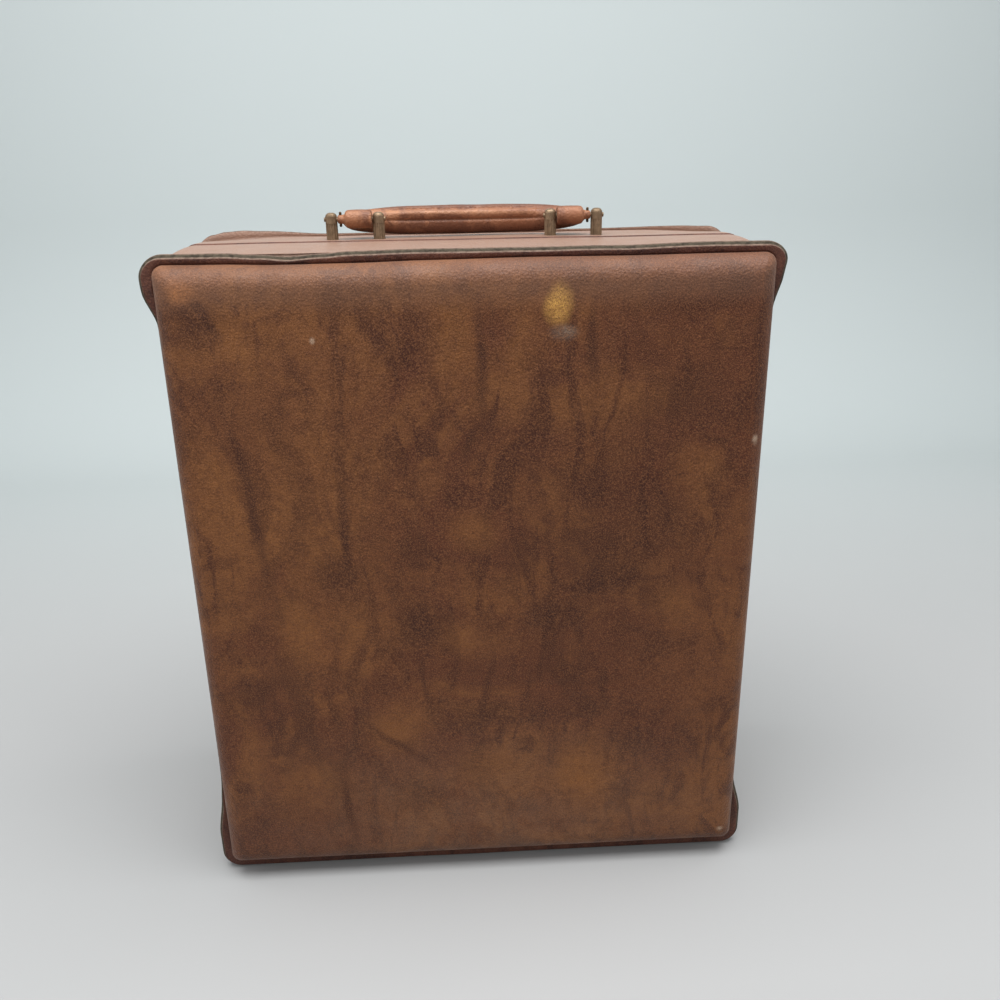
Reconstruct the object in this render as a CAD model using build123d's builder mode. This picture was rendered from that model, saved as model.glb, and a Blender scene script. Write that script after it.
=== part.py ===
from build123d import *
import os
from math import copysign, cos, pi, radians, sin, sqrt

# Travel bar case: two upright halves, each a moulded face panel sewn to a side band, that open like a book.
# Millimetres. X runs across the case, Y runs through it and Z is up. The handle is on the half at +Y.
# The origin is the middle of the footprint, on the surface that the two sewn seams stand on.

# Face panels
panel_width = 330.0
panel_height = 380.5
panel_depth = 13.0
panel_corner = 13.0
panel_round = 12.0
shell_wall = 3.0

# Sewn seams: two flanges with a stiff core between them, with fuller ears at the four corners
seam_below = 10.5
seam_above = 4.0
seam_beside = 2.0
seam_sheet = 2.0
seam_core = 1.6
core_inset = 0.3
face_inset = 1.2
ear_reach = 7.5
ear_corner = 16.0
ear_blend = 18.0
low_ear_height = 26.0
low_taper_height = 54.0
top_ear_drop = 19.0
top_taper_drop = 38.0

# Side bands
half_depth = 78.0
band_swell = 1.0
band_crown = 4.4
band_corner = 14.0
band_top_corner = 8.0
parting_gap = 0.4

# Lip on the body half that nests in the lid half
lip_wall = 2.0
lip_reach = 6.0
lip_seat = 6.0
lip_clearance = 0.6
lip_end_gap = 1.0

# Linings and inner fittings
lining_wall = 1.2
lining_round = 9.6
divider_board = 3.0
divider_height = 285.0
divider_spacing = 108.0
divider_setback = 3.0
divider_round = 14.0
strap_width = 26.0
strap_thick = 2.0
strap_height = 205.0
snap_radius = 6.5
snap_thick = 2.4
rack_board = 4.0
rack_height = 84.0
rack_setback = 2.0
cup_bore = 27.0
cup_spacing = 106.0
cup_count = 3
tool_board_width = 296.0
tool_board_height = 215.0
tool_board_thick = 2.5
tool_board_lift = 45.0
loop_count = 6
loop_pitch = 46.0
loop_span = 30.0
loop_rise = 2.8
loop_elastic = 1.2
loop_width = 22.0
loop_row_inset = 38.0

# Handle
post_radius = 3.5
post_height = 15.5
post_head = 6.2
post_head_round = 2.6
post_shank = 2.0
post_clench = 3.2
post_clench_thick = 1.0
rib_count = 12
rib_depth = 0.5
inner_post_x = 51.5
outer_post_x = 79.5
handle_y = 12.0
handle_lift = 11.6
handle_pin_radius = 1.3
pin_stand_out = 0.7
running_fit = 0.05
end_play = 0.4
barrel_radius = 5.3
neck_radius = 2.5
neck_length = 3.2
shoulder_length = 2.6
grip_sag = 20.0
grip_squareness = 2.6
grip_end_x = 70.0
grip_drop = 2.2
grip_end_half_width = 2.3
grip_end_half_height = 2.4
grip_half_width = 7.6
grip_half_height = 8.7
grip_step = 15
cross_rivet_radius = 0.8
cross_rivet_reach = 4.4
mount_plate_thick = 1.5
mount_plate_width = 10.0
mount_plate_margin = 8.0

# Hinges
hinge_rise = 96.0
hinge_length = 62.0
leaf_thick = 1.0
leaf_width = 19.0
leaf_corner = 3.0
knuckle_radius = 2.4
knuckle_count = 5
knuckle_gap = 0.4
hinge_pin_radius = 1.0
hinge_pin_head = 1.7
hinge_pin_head_thick = 1.0
hinge_clearance = 0.4

# Rivets that hold the hinges, locks and keepers
rivet_radius = 1.2
rivet_head = 2.4
rivet_head_thick = 0.8
rivet_clench = 2.0
rivet_clench_thick = 0.7
hinge_rivet_pitch = 22.0
hinge_rivet_inset = 6.5

# Latches: lock, hasp, keeper and slide button
latch_rise = 105.0
plate_thick = 1.2
plate_corner = 2.5
lock_length = 31.0
lock_edge = 3.0
lock_half_height = 23.0
lock_case_edge = 11.0
lock_case_half_height = 15.0
lock_case_depth = 4.0
lock_case_wall = 1.0
lock_case_round = 0.8
lock_case_margin = 3.0
lock_rivet_rise = 19.0
button_half_width = 3.2
button_half_height = 4.0
button_travel = 4.0
button_clearance = 0.4
button_flange = 2.0
button_flange_thick = 1.4
button_stand_out = 1.9
button_corner = 1.2
hasp_pivot_y = 6.4
hasp_pivot_lift = 3.1
hasp_knuckle = 1.8
hasp_pin_radius = 0.8
hasp_half_height = 12.0
hasp_knuckle_half = 7.0
hasp_thick = 1.5
hasp_neck = 3.3
hasp_heel_round = 1.0
hasp_reach = 23.0
hasp_tip_round = 5.0
hasp_tab = 2.6
hasp_tab_rise = 1.4
lug_thick = 3.6
keeper_edge = 3.4
keeper_length = 16.6
keeper_half_height = 18.0
keeper_rivet_rise = 14.8
stud_y = 10.6
stud_half_length = 1.6
stud_half_height = 4.5
stud_height = 4.4
window_clearance = 0.8

# Places worked out from the sizes above
case_height = seam_below + panel_height + seam_above
panel_middle = seam_below + panel_height / 2
half_panel = panel_width / 2
face_y = -half_depth
seam_y = face_y + panel_depth
core_y = seam_y + seam_sheet
band_y = core_y + seam_core
split_y = -parting_gap / 2
inside_top = panel_middle + panel_height / 2 - shell_wall
inside_low = panel_middle - panel_height / 2 + shell_wall
inside_corner = band_corner - band_swell - shell_wall
room_half = half_panel - shell_wall - lining_wall
room_low = inside_low + lining_wall
room_top = inside_top - lining_wall
room_back = half_depth - shell_wall - lining_wall
side_face = half_panel + band_swell
band_foot = panel_middle - panel_height / 2 - band_swell
band_top = panel_middle + panel_height / 2 + band_crown
top_wall = band_top - inside_top
handle_z = band_top + handle_lift
hinge_x = side_face + knuckle_radius + hinge_clearance
wall_stack = band_swell + shell_wall + lining_wall


def upright_plane(y):
    """Plane across the case at depth y, drawn in X and Z and facing the front."""
    return Plane.XZ.offset(-y)


def case_outline(margin, corner):
    """Front outline of the panel, grown by a margin."""
    with Locations((0, panel_middle)):
        RectangleRounded(panel_width + 2 * margin, panel_height + 2 * margin, corner)


def band_outline():
    """Front outline of the side band: its top stands above the panels, with tighter corners."""
    with BuildLine() as edge:
        FilletPolyline(
            (-side_face, band_foot),
            (side_face, band_foot),
            (side_face, band_top),
            (-side_face, band_top),
            radius=(band_corner, band_corner, band_top_corner, band_top_corner),
            close=True,
        )
    make_face(edge.edges())


def seam_outline(inset):
    """Outline of a seam's layer: flat top and foot, ears at the corners, slimmer along the sides."""
    ear = half_panel + ear_reach - inset
    side = half_panel + seam_beside - inset
    top = case_height - inset
    right = [
        (ear, inset),
        (ear, low_ear_height),
        (side, low_taper_height),
        (side, case_height - top_taper_drop),
        (ear, case_height - top_ear_drop),
        (ear, top),
    ]
    left = [(-x, z) for x, z in reversed(right)]
    corner = ear_corner - inset
    bends = [corner, ear_blend, ear_blend, ear_blend, ear_blend, corner]
    with BuildLine() as edge:
        FilletPolyline(*right, *left, radius=bends + bends, close=True)
    make_face(edge.edges())


def write(piece, name):
    """Label a finished sub-part and write it under its own name."""
    piece.part.label = name
    export_step(piece.part, f"parts/{name}.step")


def right_side(y, z):
    """Outer face of the band on the hinge side, seen from outside."""
    return Plane(origin=(side_face, y, z), x_dir=(0, 1, 0), z_dir=(1, 0, 0))


def left_side(y, z):
    """Outer face of the band on the latch side, seen from outside."""
    return Plane(origin=(-side_face, y, z), x_dir=(0, -1, 0), z_dir=(-1, 0, 0))


os.makedirs("parts", exist_ok=True)

# Face panels: an open moulded tray with the outer flange of the seam
with BuildPart() as tray_room:
    with BuildSketch(upright_plane(core_y)):
        case_outline(-shell_wall, panel_corner - shell_wall)
    extrude(amount=core_y - face_y - shell_wall)
    fillet(tray_room.faces().sort_by(Axis.Y)[0].edges(), panel_round - shell_wall)

with BuildPart() as front_shell:
    with BuildSketch(upright_plane(seam_y)):
        case_outline(0, panel_corner)
    extrude(amount=panel_depth)
    fillet(front_shell.faces().sort_by(Axis.Y)[0].edges(), panel_round)
    with BuildSketch(upright_plane(core_y)):
        seam_outline(face_inset)
    extrude(amount=seam_sheet)
    add(tray_room.part, mode=Mode.SUBTRACT)
write(front_shell, "front_shell")

with BuildPart() as rear_shell:
    mirror(front_shell.part, about=Plane.XZ)
write(rear_shell, "rear_shell")

# Stiff core of each seam: it stands out past the panel's flange, just short of the band's flange
with BuildPart() as front_welt_core:
    with BuildSketch(upright_plane(band_y)):
        seam_outline(core_inset)
    extrude(amount=seam_core)
    with BuildSketch(upright_plane(band_y)):
        case_outline(-shell_wall, inside_corner)
    extrude(amount=seam_core, mode=Mode.SUBTRACT)
write(front_welt_core, "front_welt_core")

with BuildPart() as rear_welt_core:
    mirror(front_welt_core.part, about=Plane.XZ)
write(rear_welt_core, "rear_welt_core")

# Rivet pattern: three through each hinge leaf, two through each lock and each keeper
hinge_rises = {"upper": case_height - hinge_rise, "lower": hinge_rise}
latch_rises = {"upper": case_height - latch_rise, "lower": latch_rise}
hinge_rows = [rise + step * hinge_rivet_pitch for rise in hinge_rises.values() for step in (-1, 0, 1)]
leaf_rivet_y = leaf_width - hinge_rivet_inset
lid_hinge_seats = [right_side(-leaf_rivet_y, z) for z in hinge_rows]
body_hinge_seats = [right_side(leaf_rivet_y, z) for z in hinge_rows]
lock_rivet_y = (lock_case_edge + lock_edge + lock_length) / 2
lock_rows = [rise + way * lock_rivet_rise for rise in latch_rises.values() for way in (-1, 1)]
keeper_rows = [rise + way * keeper_rivet_rise for rise in latch_rises.values() for way in (-1, 1)]
lock_seats = [left_side(lock_rivet_y, z) for z in lock_rows]
keeper_seats = [left_side(-stud_y, z) for z in keeper_rows]

# Side bands: the lid's half first, with the inner flange of its seam
with BuildPart() as half_band:
    with BuildSketch(upright_plane(split_y)):
        band_outline()
    extrude(amount=split_y - band_y)
    with BuildSketch(upright_plane(band_y + seam_sheet)):
        seam_outline(0)
    extrude(amount=seam_sheet)
    with BuildSketch(upright_plane(split_y)):
        case_outline(-shell_wall, inside_corner)
    extrude(amount=split_y - band_y, mode=Mode.SUBTRACT)

with BuildPart() as lid_band:
    add(half_band.part)
    with Locations(*lid_hinge_seats, *keeper_seats):
        Hole(rivet_radius, depth=band_swell + shell_wall)
write(lid_band, "lid_band")

post_places = [(side * x, handle_y) for x in (inner_post_x, outer_post_x) for side in (-1, 1)]
with BuildPart() as body_band:
    mirror(half_band.part, about=Plane.XZ)
    with Locations(*body_hinge_seats, *lock_seats):
        Hole(rivet_radius, depth=band_swell + shell_wall)
    with BuildSketch(Plane.XY.offset(band_top)):
        with Locations(*post_places):
            Circle(post_shank)
    extrude(amount=-top_wall, mode=Mode.SUBTRACT)
write(body_band, "body_band")

# Lip riveted inside the body half: its front part nests in the lid with a small clearance
with BuildPart() as body_lip:
    with BuildSketch(upright_plane(lip_seat)):
        case_outline(-shell_wall, inside_corner)
    extrude(amount=lip_seat + split_y)
    with BuildSketch(upright_plane(-split_y)):
        case_outline(-shell_wall - lip_clearance, inside_corner - lip_clearance)
    extrude(amount=lip_reach - split_y)
    with BuildSketch(upright_plane(lip_seat)):
        case_outline(-shell_wall - lip_wall, inside_corner - lip_wall)
    extrude(amount=lip_seat + lip_reach, mode=Mode.SUBTRACT)
write(body_lip, "body_lip")


def lining_block(front, wall):
    """Room inside one half, less a wall, from the lining's open edge to the face panel."""
    with BuildPart() as block:
        with BuildSketch(upright_plane(front)):
            case_outline(-shell_wall - wall, inside_corner - wall)
        extrude(amount=front - face_y - shell_wall - wall)
        fillet(block.faces().sort_by(Axis.Y)[0].edges(), lining_round - wall)
    return block.part


lid_lining_skin = lining_block(-lip_reach - lip_end_gap, 0)
lid_lining_room = lining_block(-lip_reach - lip_end_gap, lining_wall)
body_lining_skin = mirror(lining_block(-lip_seat, 0), about=Plane.XZ)
body_lining_room = mirror(lining_block(-lip_seat, lining_wall), about=Plane.XZ)

with BuildPart() as lid_lining:
    add(lid_lining_skin)
    add(lid_lining_room, mode=Mode.SUBTRACT)
    with Locations(*lid_hinge_seats, *keeper_seats):
        Hole(rivet_radius, depth=wall_stack)
write(lid_lining, "lid_lining")

with BuildPart() as body_lining:
    add(body_lining_skin)
    add(body_lining_room, mode=Mode.SUBTRACT)
    with Locations(*body_hinge_seats, *lock_seats):
        Hole(rivet_radius, depth=wall_stack)
    with BuildSketch(Plane.XY.offset(inside_top)):
        with Locations(*post_places):
            Circle(post_shank)
    extrude(amount=-lining_wall, mode=Mode.SUBTRACT)
write(body_lining, "body_lining")

# Bottle dividers: two boards standing on the lining floor, with a rounded top front corner
divider_front = lip_seat + divider_setback
for name, side in (("bottle_divider_left", -1), ("bottle_divider_right", 1)):
    with BuildPart() as divider:
        middle = side * divider_spacing / 2
        with BuildSketch(Plane.YZ.offset(middle - divider_board / 2)):
            with Locations((divider_front, room_low)):
                Rectangle(room_back - divider_front, divider_height, align=(Align.MIN, Align.MIN))
        extrude(amount=divider_board)
        top_front = divider.edges().filter_by(Axis.X).group_by(Axis.Z)[-1].sort_by(Axis.Y)[0]
        fillet(top_front, divider_round)
        low_back = divider.edges().filter_by(Axis.X).group_by(Axis.Z)[0].sort_by(Axis.Y)[-1]
        fillet(low_back, lining_round - lining_wall)
    write(divider, name)

# Strap that keeps the bottles in, from side to side in front of the dividers
strap_z = room_low + strap_height
with BuildPart() as bottle_strap:
    with BuildSketch(Plane.XZ.offset(-divider_front)):
        with Locations((0, strap_z)):
            Rectangle(2 * room_half, strap_width)
    extrude(amount=strap_thick)
write(bottle_strap, "bottle_strap")

# Snap caps on the strap, one at each divider
with BuildPart() as strap_snaps:
    with BuildSketch(Plane.XZ.offset(strap_thick - divider_front)):
        with Locations(*[(side * divider_spacing / 2, strap_z) for side in (-1, 1)]):
            Circle(snap_radius)
    extrude(amount=snap_thick)
    chamfer(strap_snaps.faces().sort_by(Axis.Y)[0:2].edges(), snap_thick / 2)
write(strap_snaps, "strap_snaps")

# Cup rack: a shelf across the lid with a round hole for each cup
rack_front = -lip_reach - lip_end_gap - rack_setback
rack_depth = room_back + rack_front
with BuildPart() as cup_rack:
    with BuildSketch(Plane.XY.offset(room_low + rack_height)):
        with Locations((0, rack_front - rack_depth / 2)):
            Rectangle(2 * room_half, rack_depth)
            with GridLocations(cup_spacing, 0, cup_count, 1):
                Circle(cup_bore, mode=Mode.SUBTRACT)
    extrude(amount=rack_board)
    back_corners = cup_rack.edges().filter_by(Axis.Z).filter_by(GeomType.LINE).group_by(Axis.Y)[0]
    fillet(back_corners, lining_round - lining_wall)
write(cup_rack, "cup_rack")

# Tool board on the lid's back lining, with two rows of elastic loops
board_low = room_low + rack_height + rack_board + tool_board_lift
with BuildPart() as tool_board:
    with BuildSketch(upright_plane(tool_board_thick - room_back)):
        with Locations((0, board_low + tool_board_height / 2)):
            RectangleRounded(tool_board_width, tool_board_height, lining_round)
    extrude(amount=tool_board_thick)
write(tool_board, "tool_board")

board_face = tool_board_thick - room_back
with BuildPart() as tool_loops:
    half_strip = (loop_count * loop_pitch) / 2
    rows = [board_low + loop_row_inset, board_low + tool_board_height - loop_row_inset - loop_width]
    for row in rows:
        with BuildSketch(Plane.XY.offset(row)) as strip:
            with Locations((0, board_face + loop_elastic / 2)):
                Rectangle(2 * half_strip, loop_elastic)
            for number in range(loop_count):
                middle = (number + 0.5) * loop_pitch - half_strip
                low, high = middle - loop_span / 2, middle + loop_span / 2
                with BuildLine() as crown:
                    base = board_face + loop_elastic
                    ThreePointArc((high, base), (middle, base + loop_rise), (low, base))
                    Line((low, base), (high, base))
                make_face(crown.edges())
                with BuildLine() as hollow:
                    ThreePointArc(
                        (high - loop_elastic, board_face),
                        (middle, board_face + loop_rise),
                        (low + loop_elastic, board_face),
                    )
                    Line((low + loop_elastic, board_face), (high - loop_elastic, board_face))
                make_face(hollow.edges(), mode=Mode.SUBTRACT)
        extrude(amount=loop_width)
write(tool_loops, "tool_loops")

# Handle posts: ribbed pillars with smooth round heads, their shanks clenched inside the mount plate
post_names = {
    "handle_post_outer_left": -outer_post_x,
    "handle_post_inner_left": -inner_post_x,
    "handle_post_inner_right": inner_post_x,
    "handle_post_outer_right": outer_post_x,
}
plate_low = room_top - mount_plate_thick
rib_turn = pi / rib_count
rib_points = [
    ((post_radius - rib_depth * (number % 2)) * cos(number * rib_turn),
     (post_radius - rib_depth * (number % 2)) * sin(number * rib_turn))
    for number in range(2 * rib_count)
]
for name, x in post_names.items():
    with BuildPart() as post:
        with BuildSketch(Plane.XY.offset(band_top + post_height - post_head)):
            with Locations((x, handle_y)):
                Circle(post_radius)
        extrude(amount=post_head)
        fillet(post.faces().sort_by(Axis.Z)[-1].edges(), post_head_round)
        with BuildSketch(Plane(origin=(x, handle_y, band_top))):
            with BuildLine() as ribs:
                Polyline(*rib_points, close=True)
            make_face(ribs.edges())
        extrude(amount=post_height - post_head)
        with BuildSketch(Plane.XY.offset(plate_low)):
            with Locations((x, handle_y)):
                Circle(post_shank)
        extrude(amount=band_top - plate_low)
        with BuildSketch(Plane.XY.offset(plate_low)):
            with Locations((x, handle_y)):
                Circle(post_clench)
        extrude(amount=-post_clench_thick)
        with BuildSketch(Plane.YZ.offset(x - post_radius)):
            with Locations((handle_y, handle_z)):
                Circle(handle_pin_radius + running_fit)
        extrude(amount=2 * post_radius, mode=Mode.SUBTRACT)
    write(post, name)

# Plate inside the top of the body half that the four posts are clenched against
with BuildPart() as handle_mount_plate:
    with BuildSketch(Plane.XY.offset(plate_low)):
        with Locations((0, handle_y)):
            Rectangle(2 * (outer_post_x + mount_plate_margin), mount_plate_width)
        with Locations(*post_places):
            Circle(post_shank, mode=Mode.SUBTRACT)
    extrude(amount=mount_plate_thick)
write(handle_mount_plate, "handle_mount_plate")

# Handle pins: each runs through an outer post, the end of the handle and an inner post
pin_inner = inner_post_x - post_radius - pin_stand_out
pin_outer = outer_post_x + post_radius + pin_stand_out
neck_middle = outer_post_x - post_radius - end_play - neck_length / 2
cross_rivet_places = [(side * neck_middle, handle_y) for side in (-1, 1)]
for name, side in (("handle_pin_left", -1), ("handle_pin_right", 1)):
    with BuildPart() as pin:
        with BuildSketch(Plane.YZ.offset(side * pin_inner)):
            with Locations((handle_y, handle_z)):
                Circle(handle_pin_radius)
        extrude(amount=side * (pin_outer - pin_inner))
        with BuildSketch(Plane.XY.offset(handle_z)):
            with Locations(*cross_rivet_places):
                Circle(cross_rivet_radius)
        extrude(amount=handle_pin_radius, both=True, mode=Mode.SUBTRACT)
    write(pin, name)

# Padded handle: a crescent that swells towards its middle, with a round barrel and neck at each end
def grip_section(turn):
    """Centre plane and half sizes of the handle's section, at a turn along its superellipse."""
    cosine, sine = cos(radians(turn)), abs(sin(radians(turn)))
    across = copysign(abs(cosine) ** (2 / grip_squareness), cosine)
    back = sine ** (2 / grip_squareness)
    outward = Vector(
        copysign(abs(across) ** (grip_squareness - 1), across) / grip_end_x,
        back ** (grip_squareness - 1) / grip_sag,
        0,
    )
    centre = (grip_end_x * across, handle_y + grip_sag * back, handle_z - grip_drop * back)
    plane = Plane(origin=centre, x_dir=outward, z_dir=Vector(0, 0, 1).cross(outward))
    swell = sqrt(sine)
    half_width = grip_end_half_width + (grip_half_width - grip_end_half_width) * swell
    half_height = grip_end_half_height + (grip_half_height - grip_end_half_height) * swell
    return plane, half_width, half_height


barrel_inner = inner_post_x + post_radius + end_play
neck_end = outer_post_x - post_radius - end_play
barrel_outer = neck_end - neck_length - shoulder_length
with BuildPart() as handle_grip:
    for turn in range(0, 181, grip_step):
        plane, half_width, half_height = grip_section(turn)
        with BuildSketch(plane):
            Ellipse(half_width, half_height)
    loft(ruled=True)
    for side in (-1, 1):
        barrel_plane = Plane(origin=(0, handle_y, handle_z), x_dir=(side, 0, 0), z_dir=(0, -side, 0))
        with BuildSketch(barrel_plane):
            with BuildLine() as profile:
                outline = Polyline(
                    (barrel_inner, 0),
                    (barrel_inner, barrel_radius),
                    (barrel_outer, barrel_radius),
                    (neck_end - neck_length, neck_radius),
                    (neck_end, neck_radius),
                    (neck_end, 0),
                    close=True,
                )
            make_face(profile.edges())
        revolve(axis=Axis((0, handle_y, handle_z), (1, 0, 0)))
    with BuildSketch(Plane.YZ.offset(-neck_end)):
        with Locations((handle_y, handle_z)):
            Circle(handle_pin_radius)
    extrude(amount=2 * neck_end, mode=Mode.SUBTRACT)
    with BuildSketch(Plane.XY.offset(handle_z)):
        with Locations(*cross_rivet_places):
            Circle(cross_rivet_radius)
    extrude(amount=neck_radius, both=True, mode=Mode.SUBTRACT)
write(handle_grip, "handle_grip")

# Cross rivets that lock the handle's necks to their pins
with BuildPart() as handle_rivets:
    with BuildSketch(Plane.XY.offset(handle_z)):
        with Locations(*cross_rivet_places):
            Circle(cross_rivet_radius)
    extrude(amount=cross_rivet_reach, both=True)
write(handle_rivets, "handle_rivets")


def rivet_group(seats, grip):
    """Rivets, one on each seat plane, clenched on the far side of what they grip."""
    with BuildPart() as rivets:
        with BuildSketch(*seats):
            Circle(rivet_head)
        extrude(amount=rivet_head_thick)
        with BuildSketch(*seats):
            Circle(rivet_radius)
        extrude(amount=-grip)
        with BuildSketch(*[seat.offset(-grip) for seat in seats]):
            Circle(rivet_clench)
        extrude(amount=-rivet_clench_thick)
    return rivets


# Hinges: leaves riveted to both bands, with knuckles that take turns along the pin
leaf_near = knuckle_radius + hinge_clearance
tongue_reach = leaf_near + leaf_corner
zone = hinge_length / knuckle_count


def hinge_leaf(side, own_zones, bore, low):
    """One leaf with its knuckles: side is -1 for the lid's leaf and 1 for the body's."""
    with BuildPart() as leaf:
        with BuildSketch(right_side(side * (leaf_near + leaf_width) / 2, low + hinge_length / 2)):
            RectangleRounded(leaf_width - leaf_near, hinge_length, leaf_corner)
        extrude(amount=leaf_thick)
        for number in own_zones:
            start = low + number * zone + knuckle_gap / 2
            with BuildSketch(Plane.XY.offset(start)):
                with Locations((hinge_x, 0)):
                    Circle(knuckle_radius)
                with Locations((side_face + leaf_thick / 2, side * (leaf_thick + tongue_reach) / 2)):
                    Rectangle(leaf_thick, tongue_reach - leaf_thick)
            extrude(amount=zone - knuckle_gap)
            with BuildSketch(Plane.XY.offset(start)):
                with Locations((hinge_x, 0)):
                    Circle(bore)
            extrude(amount=zone - knuckle_gap, mode=Mode.SUBTRACT)
        middle = low + hinge_length / 2
        seats = [right_side(side * leaf_rivet_y, middle + step * hinge_rivet_pitch) for step in (-1, 0, 1)]
        with Locations(*[seat.offset(leaf_thick) for seat in seats]):
            Hole(rivet_radius, depth=leaf_thick)
    return leaf


body_zones = range(0, knuckle_count, 2)
lid_zones = range(1, knuckle_count, 2)
for place, rise in hinge_rises.items():
    low = rise - hinge_length / 2
    write(hinge_leaf(-1, lid_zones, hinge_pin_radius + running_fit, low), f"hinge_leaf_lid_{place}")
    write(hinge_leaf(1, body_zones, hinge_pin_radius, low), f"hinge_leaf_body_{place}")
    with BuildPart() as hinge_pin:
        with BuildSketch(Plane.XY.offset(low)):
            with Locations((hinge_x, 0)):
                Circle(hinge_pin_radius)
        extrude(amount=hinge_length)
        for end, way in ((low + knuckle_gap / 2, -1), (low + hinge_length - knuckle_gap / 2, 1)):
            with BuildSketch(Plane.XY.offset(end)):
                with Locations((hinge_x, 0)):
                    Circle(hinge_pin_head)
            extrude(amount=way * hinge_pin_head_thick)
    write(hinge_pin, f"hinge_pin_{place}")

hinge_grip = leaf_thick + wall_stack
write(rivet_group([seat.offset(leaf_thick) for seat in lid_hinge_seats], hinge_grip), "hinge_rivets_lid")
write(rivet_group([seat.offset(leaf_thick) for seat in body_hinge_seats], hinge_grip), "hinge_rivets_body")

# Latches: a lock with a slide button and a hinged hasp on the body, a keeper with a stud on the lid
case_length = lock_edge + lock_length - lock_case_edge - lock_case_margin
case_middle = lock_case_edge + case_length / 2
pivot_x = -side_face - hasp_pivot_lift
button_low = lock_case_depth - lock_case_wall - button_clearance - button_flange_thick
for place, rise in latch_rises.items():
    with BuildPart() as lock_plate:
        with BuildSketch(left_side(lock_edge + lock_length / 2, rise)):
            RectangleRounded(lock_length, 2 * lock_half_height, plate_corner)
        extrude(amount=plate_thick)
        with BuildSketch(left_side(case_middle, rise)):
            RectangleRounded(case_length, 2 * lock_case_half_height, plate_corner)
        extrude(amount=lock_case_depth)
        fillet(lock_plate.faces().sort_by(Axis.X)[0].edges(), lock_case_round)
        for way in (-1, 1):
            with BuildSketch(Plane.XY.offset(rise + way * (hasp_knuckle_half + knuckle_gap))):
                with Locations((pivot_x, hasp_pivot_y)):
                    Circle(hasp_knuckle)
                with Locations((-side_face - hasp_pivot_lift / 2, hasp_pivot_y)):
                    Rectangle(hasp_pivot_lift, 2 * hasp_knuckle)
            extrude(amount=way * lug_thick)
        with BuildSketch(Plane.XY.offset(rise - lock_half_height)):
            with Locations((pivot_x, hasp_pivot_y)):
                Circle(hasp_pin_radius)
        extrude(amount=2 * lock_half_height, mode=Mode.SUBTRACT)
        with BuildSketch(left_side(case_middle, rise)):
            Rectangle(case_length - 2 * lock_case_wall, 2 * (lock_case_half_height - lock_case_wall))
        extrude(amount=lock_case_depth - lock_case_wall, mode=Mode.SUBTRACT)
        with BuildSketch(left_side(case_middle, rise)):
            Rectangle(
                2 * (button_half_width + button_clearance),
                2 * (button_half_height + button_clearance) + button_travel,
            )
        extrude(amount=lock_case_depth, mode=Mode.SUBTRACT)
        seats = [left_side(lock_rivet_y, rise + way * lock_rivet_rise) for way in (-1, 1)]
        with Locations(*[seat.offset(plate_thick) for seat in seats]):
            Hole(rivet_radius, depth=plate_thick)
    write(lock_plate, f"lock_plate_{place}")

    with BuildPart() as button:
        button_seat = left_side(case_middle, rise - button_travel / 2)
        with BuildSketch(button_seat.offset(button_low)):
            Rectangle(2 * (button_half_width + button_flange), 2 * (button_half_height + button_flange))
        extrude(amount=button_flange_thick)
        with BuildSketch(button_seat.offset(button_low)):
            RectangleRounded(2 * button_half_width, 2 * button_half_height, button_corner)
        extrude(amount=lock_case_depth + button_stand_out - button_low)
        fillet(button.faces().sort_by(Axis.X)[0].edges(), button_corner / 2)
    write(button, f"latch_button_{place}")

    with BuildPart() as hasp_pin:
        pin_half = hasp_knuckle_half + knuckle_gap + lug_thick
        with BuildSketch(Plane.XY.offset(rise - pin_half)):
            with Locations((pivot_x, hasp_pivot_y)):
                Circle(hasp_pin_radius)
        extrude(amount=2 * pin_half)
    write(hasp_pin, f"hasp_pin_{place}")

    with BuildPart() as hasp:
        with BuildSketch(Plane.XY.offset(rise)):
            with Locations((pivot_x, hasp_pivot_y)):
                Circle(hasp_knuckle)
            with Locations((pivot_x, hasp_pivot_y - hasp_neck)):
                Rectangle(hasp_thick, 2 * hasp_neck)
        extrude(amount=hasp_knuckle_half, both=True)
        leaf_seat = left_side(hasp_pivot_y - hasp_neck, rise)
        with BuildSketch(leaf_seat.offset(hasp_pivot_lift - hasp_thick / 2)):
            with BuildLine() as leaf_edge:
                reach = hasp_reach - hasp_neck
                FilletPolyline(
                    (0, -hasp_half_height),
                    (reach, -hasp_half_height),
                    (reach, hasp_half_height),
                    (0, hasp_half_height),
                    radius=(hasp_tip_round, hasp_tip_round, hasp_heel_round, hasp_heel_round),
                    close=True,
                )
            make_face()
        extrude(amount=hasp_thick)
        tip_seat = left_side(hasp_pivot_y - hasp_reach + hasp_tab / 2, rise)
        with BuildSketch(tip_seat.offset(hasp_pivot_lift)):
            Rectangle(hasp_tab, 2 * (hasp_half_height - hasp_tip_round))
        extrude(amount=hasp_thick / 2 + hasp_tab_rise)
        with BuildSketch(left_side(-stud_y, rise)):
            Rectangle(2 * (stud_half_length + window_clearance), 2 * (stud_half_height + window_clearance))
        extrude(amount=2 * hasp_pivot_lift, mode=Mode.SUBTRACT)
        with BuildSketch(Plane.XY.offset(rise - hasp_knuckle_half)):
            with Locations((pivot_x, hasp_pivot_y)):
                Circle(hasp_pin_radius + running_fit)
        extrude(amount=2 * hasp_knuckle_half, mode=Mode.SUBTRACT)
    write(hasp, f"hasp_{place}")

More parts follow.
